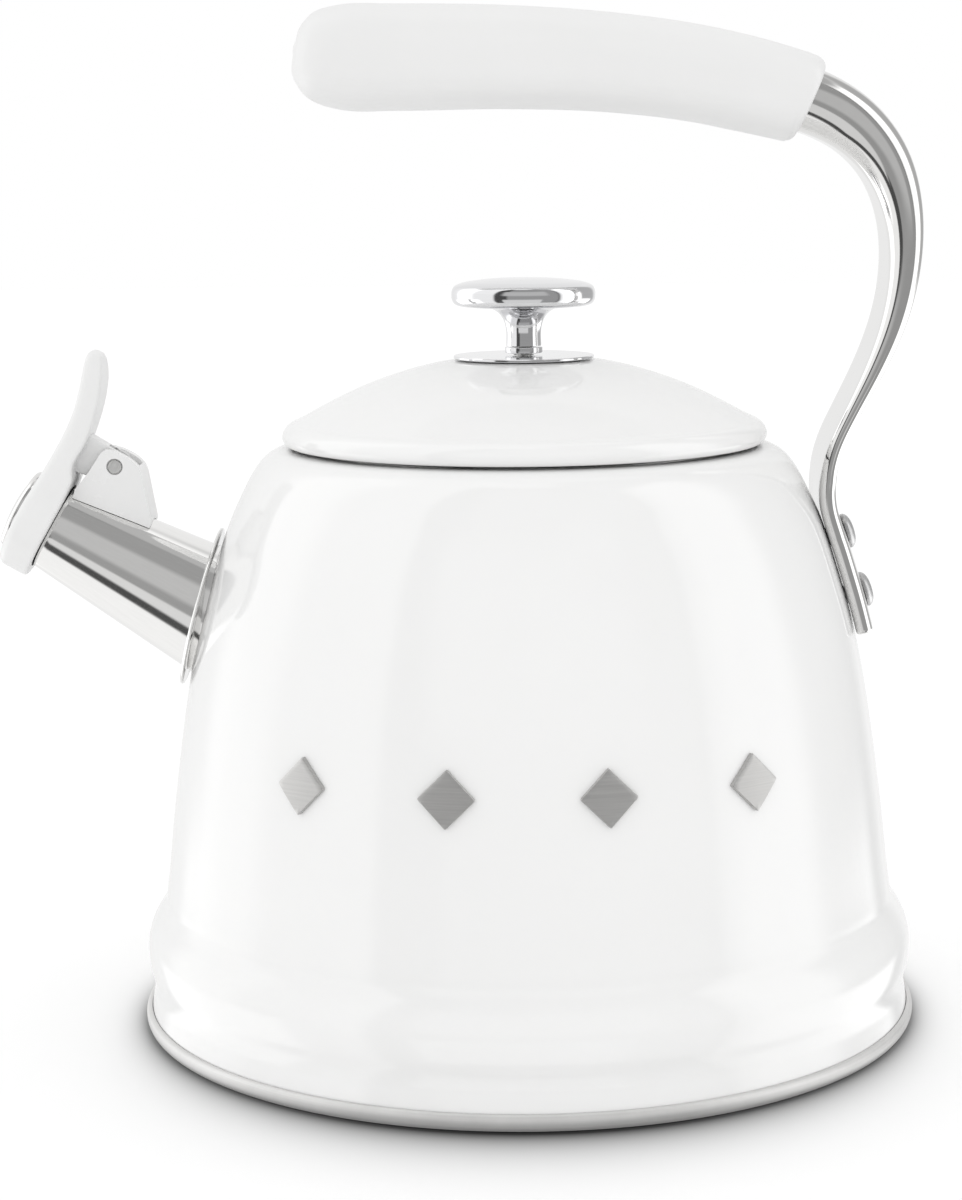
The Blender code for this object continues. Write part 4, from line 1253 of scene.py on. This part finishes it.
class KETTLE_OT_flap(bpy.types.Operator):
    """Builds the flap that holds the whistle"""

    bl_idname = "kettle.flap"
    bl_label = "Whistle flap"

    def execute(self, context):
        sizes = settings().spout
        place = mouth_frame()
        piece("kettle_flap", flap_mesh(), surface("plastic"), "flap",
              ["whistle_flap"], place)
        piece("kettle_whistle_face", face_disc_mesh(), surface("whistle_steel"), "flap",
              ["whistle_face_disc"], place)
        edge = sizes.seat_radius - 0.2 * MM
        back = turned("kettle_whistle_back", [
            (1.0 * MM, 0.6 * MM), (edge - 0.15 * MM, 0.6 * MM), (edge, 0.75 * MM),
            (edge, 0.95 * MM), (edge - 0.15 * MM, 1.1 * MM), (1.0 * MM, 1.1 * MM),
        ], ROUND)
        piece("kettle_whistle_back", back, surface("whistle_steel"), "flap",
              ["whistle_back_plate"], place)
        edge = sizes.mouth_radius + 0.2 * MM
        ring = arc(Vector((edge - 0.45 * MM, -0.35 * MM)), 0.45 * MM, -90, 0, 6)
        seal = turned("kettle_seal", [
            (7.4 * MM, -0.8 * MM), *ring, (edge, 0.3 * MM), (7.4 * MM, 0.3 * MM),
        ], FINE)
        piece("kettle_seal", seal, surface("rubber"), "flap", ["whistle_seal"],
              place)
        return {"FINISHED"}


# ---------------------------------------------------------------- handle

def bar_stations(steps=8):
    """(middle point, direction, thickness, wrap) from the foot up. wrap is 1 on the body."""
    sizes = settings().handle
    stand_off = (sizes.foot_thickness / 2 + sizes.foot_gap) / math.cos(sizes.foot_lean)
    foot = [
        Vector((body_radius(z * MM) + stand_off, z * MM, sizes.foot_thickness))
        for z in FOOT_HEIGHTS
    ]
    line = relaxed(smooth(foot + scaled(BAR_LINE), steps), 10)
    last = len(line) - 1
    stations = []
    for i, point in enumerate(line):
        heading = (line[min(i + 1, last)] - line[max(i - 1, 0)]).to_2d().normalized()
        wrap = min(max((len(FOOT_HEIGHTS) - i / steps) / 2, 0.0), 1.0)
        stations.append((point.to_2d(), heading, point.z, wrap))
    return stations


def bar_ring(station, shrink=0.0, forward=0.0):
    """A flattened ring: the tube keeps its girth, so it grows wide where it is pressed thin."""
    sizes = settings().handle
    middle, heading, thickness, wrap = station
    width = thickness + math.pi * (sizes.tube_diameter - thickness) / 2
    half_thick, half_wide = thickness / 2 - shrink, width / 2 - shrink
    flat = half_wide - half_thick
    outward = Vector((heading.y, -heading.x))
    ring = []
    for side in (1, -1):
        turns = [math.radians(-90 + 7.5 * i) for i in range(25)]
        curved = [(flat + half_thick * math.cos(t), half_thick * math.sin(t)) for t in turns]
        level = [(flat * (1 - k / 5), half_thick) for k in range(1, 10)]
        for y, out in curved + level:
            y *= side
            back = wrap * (y * y / (2 * sizes.wrap_radius))
            spot = middle + outward * (side * out - back) + heading * forward
            ring.append(Vector((spot.x, y, spot.y)))
    return ring


def bar_mesh():
    stations = bar_stations()
    foot = [bar_ring(stations[0], 0.7 * MM, 0.0), bar_ring(stations[0], 0.32 * MM, 0.1 * MM),
            bar_ring(stations[0], 0.08 * MM, 0.35 * MM), bar_ring(stations[0], 0.0, 0.8 * MM)]
    return skinned("kettle_bar", foot + [bar_ring(station) for station in stations[1:]],
                   sharp=50)


def grip_ring(x, z, slope, half_height, half_width):
    power = settings().handle.grip_squareness
    up = Vector((math.sin(slope), 0.0, -math.cos(slope)))
    ring = []
    for j in range(FINE):
        turn = math.tau * j / FINE
        y = math.copysign(abs(math.cos(turn)) ** power, math.cos(turn))
        rise = math.copysign(abs(math.sin(turn)) ** power, math.sin(turn))
        spot = Vector((x, 0.0, z)) + up * rise * half_height
        ring.append(spot + Vector((0.0, y * half_width, 0.0)))
    return ring


def grip_mesh():
    sizes = settings().handle
    line = smooth(scaled(GRIP_LINE), 7)
    last = len(line) - 1
    start = line[0]
    slope = math.atan2(start.y - GRIP_END.y, start.x - GRIP_END.x)
    rings = []
    for degrees in (90, 75, 60, 45, 30, 15):
        turn = math.radians(degrees)
        spot = start.to_2d().lerp(GRIP_END, math.sin(turn))
        less = sizes.grip_round * (1 - math.cos(turn))
        rings.append(grip_ring(*spot, slope, start.z / 2 - less, start.w - less))
    for i, point in enumerate(line):
        before, after = line[max(i - 1, 0)], line[min(i + 1, last)]
        slope = math.atan2(after.y - before.y, after.x - before.x)
        rings.append(grip_ring(point.x, point.y, slope, point.z / 2, point.w))
    return skinned("kettle_grip", rings)


def rivet_frame(height):
    """Where a rivet's axis crosses the middle of the bar's foot."""
    near = min(bar_stations(), key=lambda station: abs(station[0].y - height))
    lean = settings().handle.foot_lean
    x = near[0].x - (height - near[0].y) * math.tan(lean)
    turn = Matrix.Rotation(math.radians(90) - lean, 4, "Y")
    return Matrix.Translation((x, 0.0, height)) @ turn


def rivet_mesh(name):
    sizes = settings().handle
    low = sizes.foot_thickness / 2 + 0.05 * MM
    radius, rise = sizes.rivet_radius, sizes.rivet_height
    dome = smooth([
        Vector((radius - 0.1 * MM, low)), Vector((radius, low + 0.45 * MM)),
        Vector((radius * 0.9, low + 1.25 * MM)), Vector((radius * 0.62, low + rise * 0.86)),
        Vector((radius * 0.3, low + rise * 0.98)), Vector((0.0, low + rise)),
    ], 5)
    tail = -7.6 * MM
    shank = [(0.0, tail - 1.2 * MM), (3.0 * MM, tail - 1.0 * MM), (3.4 * MM, tail),
             (2.4 * MM, tail), (2.4 * MM, low)]
    return turned(name, [*[Vector(p) for p in shank], *dome], 64, closed=False)


class KETTLE_OT_bar(bpy.types.Operator):
    """Builds the arched bar"""

    bl_idname = "kettle.bar"
    bl_label = "Handle bar"

    def execute(self, context):
        piece("kettle_bar", bar_mesh(), surface("bar_steel"), "kettle",
              ["handle_bar"])
        return {"FINISHED"}


class KETTLE_OT_grip(bpy.types.Operator):
    """Builds the grip over the bar's end"""

    bl_idname = "kettle.grip"
    bl_label = "Grip"

    def execute(self, context):
        piece("kettle_grip", grip_mesh(), surface("grip_plastic"), "kettle",
              ["grip_sleeve"])
        return {"FINISHED"}


class KETTLE_OT_rivets(bpy.types.Operator):
    """Builds the rivets through the bar's foot"""

    bl_idname = "kettle.rivets"
    bl_label = "Rivets"

    def execute(self, context):
        for node, height in RIVETS.items():
            name = f"kettle_{node}"
            piece(name, rivet_mesh(name), surface("rivet"), "kettle", [node],
                  rivet_frame(height * MM))
            refinished(f"{node}_washer", surface("rivet"))
        return {"FINISHED"}


# ---------------------------------------------------------------- finishes and stage

class KETTLE_OT_finishes(bpy.types.Operator):
    """Makes the shared effects and every finish"""

    bl_idname = "kettle.finishes"
    bl_label = "Finishes"

    def execute(self, context):
        for build in (mottle_group, grain_group, brushing_group, turning_group, wear_group):
            build()
        colours = settings().finish
        enamel_finish(colours.enamel)
        steel, along = colours.steel, (1.0, 1.0, 0.012)
        polished_finish("kettle_polished_steel", steel, 0.05, 0.10)
        polished_finish("kettle_whistle_steel", steel, 0.07, 0.13)
        # painted light: the spout gets a copy of the shared steel made 12 percent brighter, so it
        # shows brighter reflections than the bar and whistle
        polished_finish("kettle_spout_steel", tinted(steel, 1.12)[:3], 0.05, 0.09, along, 0.03)
        polished_finish("kettle_bar_steel", steel, 0.04, 0.08, (0.2, 1.0, 0.2), 0.003)
        polished_finish("kettle_chrome", colours.chrome, 0.05, 0.09, lines=0.02)
        base_finish(colours.base_steel)
        satin_finish("kettle_inner_steel", colours.inner_steel, rough=(0.2, 0.34))
        satin_finish("kettle_pin_steel", tinted(colours.inner_steel, 1.4)[:3], rough=(0.42, 0.55))
        satin_finish("kettle_aluminium", colours.aluminium, scale=900.0)
        satin_finish("kettle_ornament", colours.ornament, (0.02, 0.02, 1.0), 2600.0, (0.5, 0.6))
        plastic_finish("kettle_plastic", colours.plastic, (0.30, 0.38), 1500.0)
        plastic_finish("kettle_grip_plastic", colours.plastic, (0.36, 0.46), 1900.0, True)
        rivet_finish(colours.rivet)
        rubber_finish(colours.rubber)
        return {"FINISHED"}


def floor_finish(sizes):
    """A pale floor. Its contact shade is set by the place on the floor and is no cast shadow."""
    made, wires, shader = new_finish("kettle_floor", ior=1.3)
    spot = wires.spot()
    parts = wires.add("ShaderNodeSeparateXYZ", {"Vector": spot}).outputs
    flat = wires.sum("MULTIPLY_ADD", parts[1], parts[1], wires.sum("MULTIPLY", parts[0], parts[0]))
    radius = wires.sum("SQRT", flat)
    facing = wires.sum("DIVIDE", parts[1], wires.sum("MULTIPLY", radius, -1.0))
    facing = wires.sum("MAXIMUM", facing, 0.0)
    front = wires.sum("MULTIPLY", facing, facing)
    reach = wires.sum("MULTIPLY_ADD", front, sizes.shade_reach, sizes.shade_reach * 0.33)
    depth = wires.sum("MULTIPLY_ADD", front, 1.0 - sizes.side_shade - sizes.shade,
                      sizes.side_shade)
    away = wires.sum("MAXIMUM", wires.sum("SUBTRACT", radius, settings().body.base_radius), 0.0)
    faded = wires.sum("EXPONENT", wires.sum("MULTIPLY", wires.sum("DIVIDE", away, reach), -1.0))
    shade = wires.sum("SUBTRACT", 1.0, wires.sum("MULTIPLY", faded, depth))
    seen = wires.add("ShaderNodeLightPath").outputs["Is Camera Ray"]
    shade = wires.sum("MAXIMUM", shade, wires.sum("SUBTRACT", 1.0, seen))
    tone = use(wires, "mottle", "Value", place=spot, scale=3.0, low=0.995, high=1.0)
    both = wires.sum("MULTIPLY", shade, tone)
    wires.feed(shader.inputs["Base Color"], wires.blend(
        both, BLACK, tinted(sizes.floor, 1.0)))
    shader.inputs["Roughness"].default_value = 0.8
    shader.inputs["Specular IOR Level"].default_value = 0.0
    return made


def window(wires, azimuth, elevation, sides, soft):
    """1 inside a patch of directions, given as (left, right, low, high) degrees, else 0."""
    left, right, low, high = sides
    edges = [
        wires.spread(azimuth, left - soft, left + soft, kind="SMOOTHSTEP"),
        wires.spread(azimuth, right + soft, right - soft, kind="SMOOTHSTEP"),
        wires.spread(elevation, low - soft, low + soft, kind="SMOOTHSTEP"),
        wires.spread(elevation, high + soft, high - soft, kind="SMOOTHSTEP"),
    ]
    value = edges[0]
    for edge in edges[1:]:
        value = wires.sum("MULTIPLY", value, edge)
    return value


def grey(value):
    return (value, value, value, 1.0)


def light_tent(sizes):
    """Even light for matt surfaces, and a white tent with an open front for glossy ones.

    Azimuth is 0 towards -Y and grows towards +X. Each patch gives its sides as (left, right,
    low, high), how softly it ends and how bright it is.
    """
    world = bpy.data.worlds.new("kettle_tent")
    bpy.context.scene.world = world
    world.use_nodes = True
    tree = world.node_tree
    wires = Wiring(tree)
    back = tree.nodes["Background"]
    way = wires.add("ShaderNodeTexCoord").outputs["Generated"]
    parts = wires.add("ShaderNodeSeparateXYZ", {"Vector": way})
    x, y, z = parts.outputs
    azimuth = wires.sum("DEGREES", wires.sum("ARCTAN2", x, wires.sum("MULTIPLY", y, -1.0)))
    elevation = wires.sum("DEGREES", wires.sum("ARCSINE", z))
    shade = wires.blend(wires.spread(elevation, -30, 60), grey(1.0), grey(1.1))
    behind = wires.sum("ABSOLUTE", azimuth)
    shade = wires.blend(
        wires.spread(behind, 128, 160, kind="SMOOTHSTEP"), shade, grey(0.92))
    patches = [
        # dark panel behind the handle
        ((104, 150, -30, 60), 8, 0.50),
        # the open front: its dark border, what lies inside it, and two paler windows
        ((-48, 61, -49, 76), 3, 0.08),
        ((-26, 58, -37, 72), 3, 0.36),
        ((-34, 40, 6, 42), 5, 0.56),
        ((-34, 30, -38, -10), 2, 0.76),
        # bright side panels, a dim strip above and low side panels
        ((68, 100, -35, 62), 6, sizes.panel_light),
        ((-128, -92, -35, 62), 8, sizes.panel_light),
        ((50, 125, 59, 84), 3, 0.50),
        ((-138, -76, -36, -11), 5, 2.0),
        ((76, 138, -36, -11), 5, 2.0),
    ]
    for sides, soft, value in patches:
        shade = wires.blend(window(wires, azimuth, elevation, sides, soft), shade, grey(value))
    path = wires.add("ShaderNodeLightPath").outputs
    even = wires.blend(path["Is Camera Ray"], grey(sizes.light), grey(1.0))
    wires.feed(back.inputs["Color"], wires.blend(path["Is Glossy Ray"], even, shade))
    world.cycles.sampling_method = "NONE"


class KETTLE_OT_stage(bpy.types.Operator):
    """Builds the floor, the light and the camera"""

    bl_idname = "kettle.stage"
    bl_label = "Stage"

    def execute(self, context):
        sizes = settings().stage
        bm = bmesh.new()
        bmesh.ops.create_grid(bm, x_segments=8, y_segments=8, size=4.0)
        floor = bpy.data.objects.new("stage_floor", mesh_of("stage_floor", bm))
        floor.data.materials.append(floor_finish(sizes))
        context.scene.collection.objects.link(floor)
        floor.visible_glossy = False
        light_tent(sizes)
        lens = bpy.data.cameras.new("stage_camera")
        lens.lens = sizes.lens
        lens.sensor_width = 36.0
        lens.shift_x = CAMERA_SHIFT
        lens.clip_start = 0.01
        camera = bpy.data.objects.new("stage_camera", lens)
        tilt = Matrix.Rotation(math.radians(90 - CAMERA_TILT), 4, "X")
        roll = Matrix.Rotation(math.radians(-CAMERA_ROLL), 4, "Z")
        camera.matrix_world = Matrix.Translation(CAMERA_PLACE) @ tilt @ roll
        context.scene.collection.objects.link(camera)
        context.scene.camera = camera
        context.scene.view_settings.view_transform = "Standard"
        return {"FINISHED"}


class KETTLE_PT_panel(bpy.types.Panel):
    """Lists the kettle's operators and settings"""

    bl_idname = "KETTLE_PT_panel"
    bl_label = "Whistling Kettle"
    bl_space_type = "VIEW_3D"
    bl_region_type = "UI"
    bl_category = "Kettle"

    def draw(self, context):
        for operator in OPERATORS:
            self.layout.operator(operator.bl_idname)
        for group in ("body", "lid", "spout", "handle", "finish", "stage"):
            box = self.layout.box()
            box.label(text=group.capitalize())
            values = getattr(context.scene.kettle, group)
            for name in values.__annotations__:
                box.prop(values, name)


# ---------------------------------------------------------------- registration and build

GROUPS = [
    KettleBodySettings, KettleLidSettings, KettleSpoutSettings, KettleHandleSettings,
    KettleFinishSettings, KettleStageSettings, KettleSettings,
]
OPERATORS = [
    KETTLE_OT_finishes, KETTLE_OT_body, KETTLE_OT_base, KETTLE_OT_ornaments, KETTLE_OT_lid,
    KETTLE_OT_knob, KETTLE_OT_spout, KETTLE_OT_bracket, KETTLE_OT_flap, KETTLE_OT_bar,
    KETTLE_OT_grip, KETTLE_OT_rivets, KETTLE_OT_stage,
]


def register():
    for made in [*GROUPS, *OPERATORS, KETTLE_PT_panel]:
        bpy.utils.register_class(made)
    bpy.types.Scene.kettle = bpy.props.PointerProperty(type=KettleSettings)


def unregister():
    del bpy.types.Scene.kettle
    for made in [KETTLE_PT_panel, *OPERATORS[::-1], *GROUPS[::-1]]:
        bpy.utils.unregister_class(made)


def main():
    register()
    for operator in OPERATORS:
        section, name = operator.bl_idname.split(".")
        getattr(getattr(bpy.ops, section), name)()


if __name__ == "__main__":
    main()
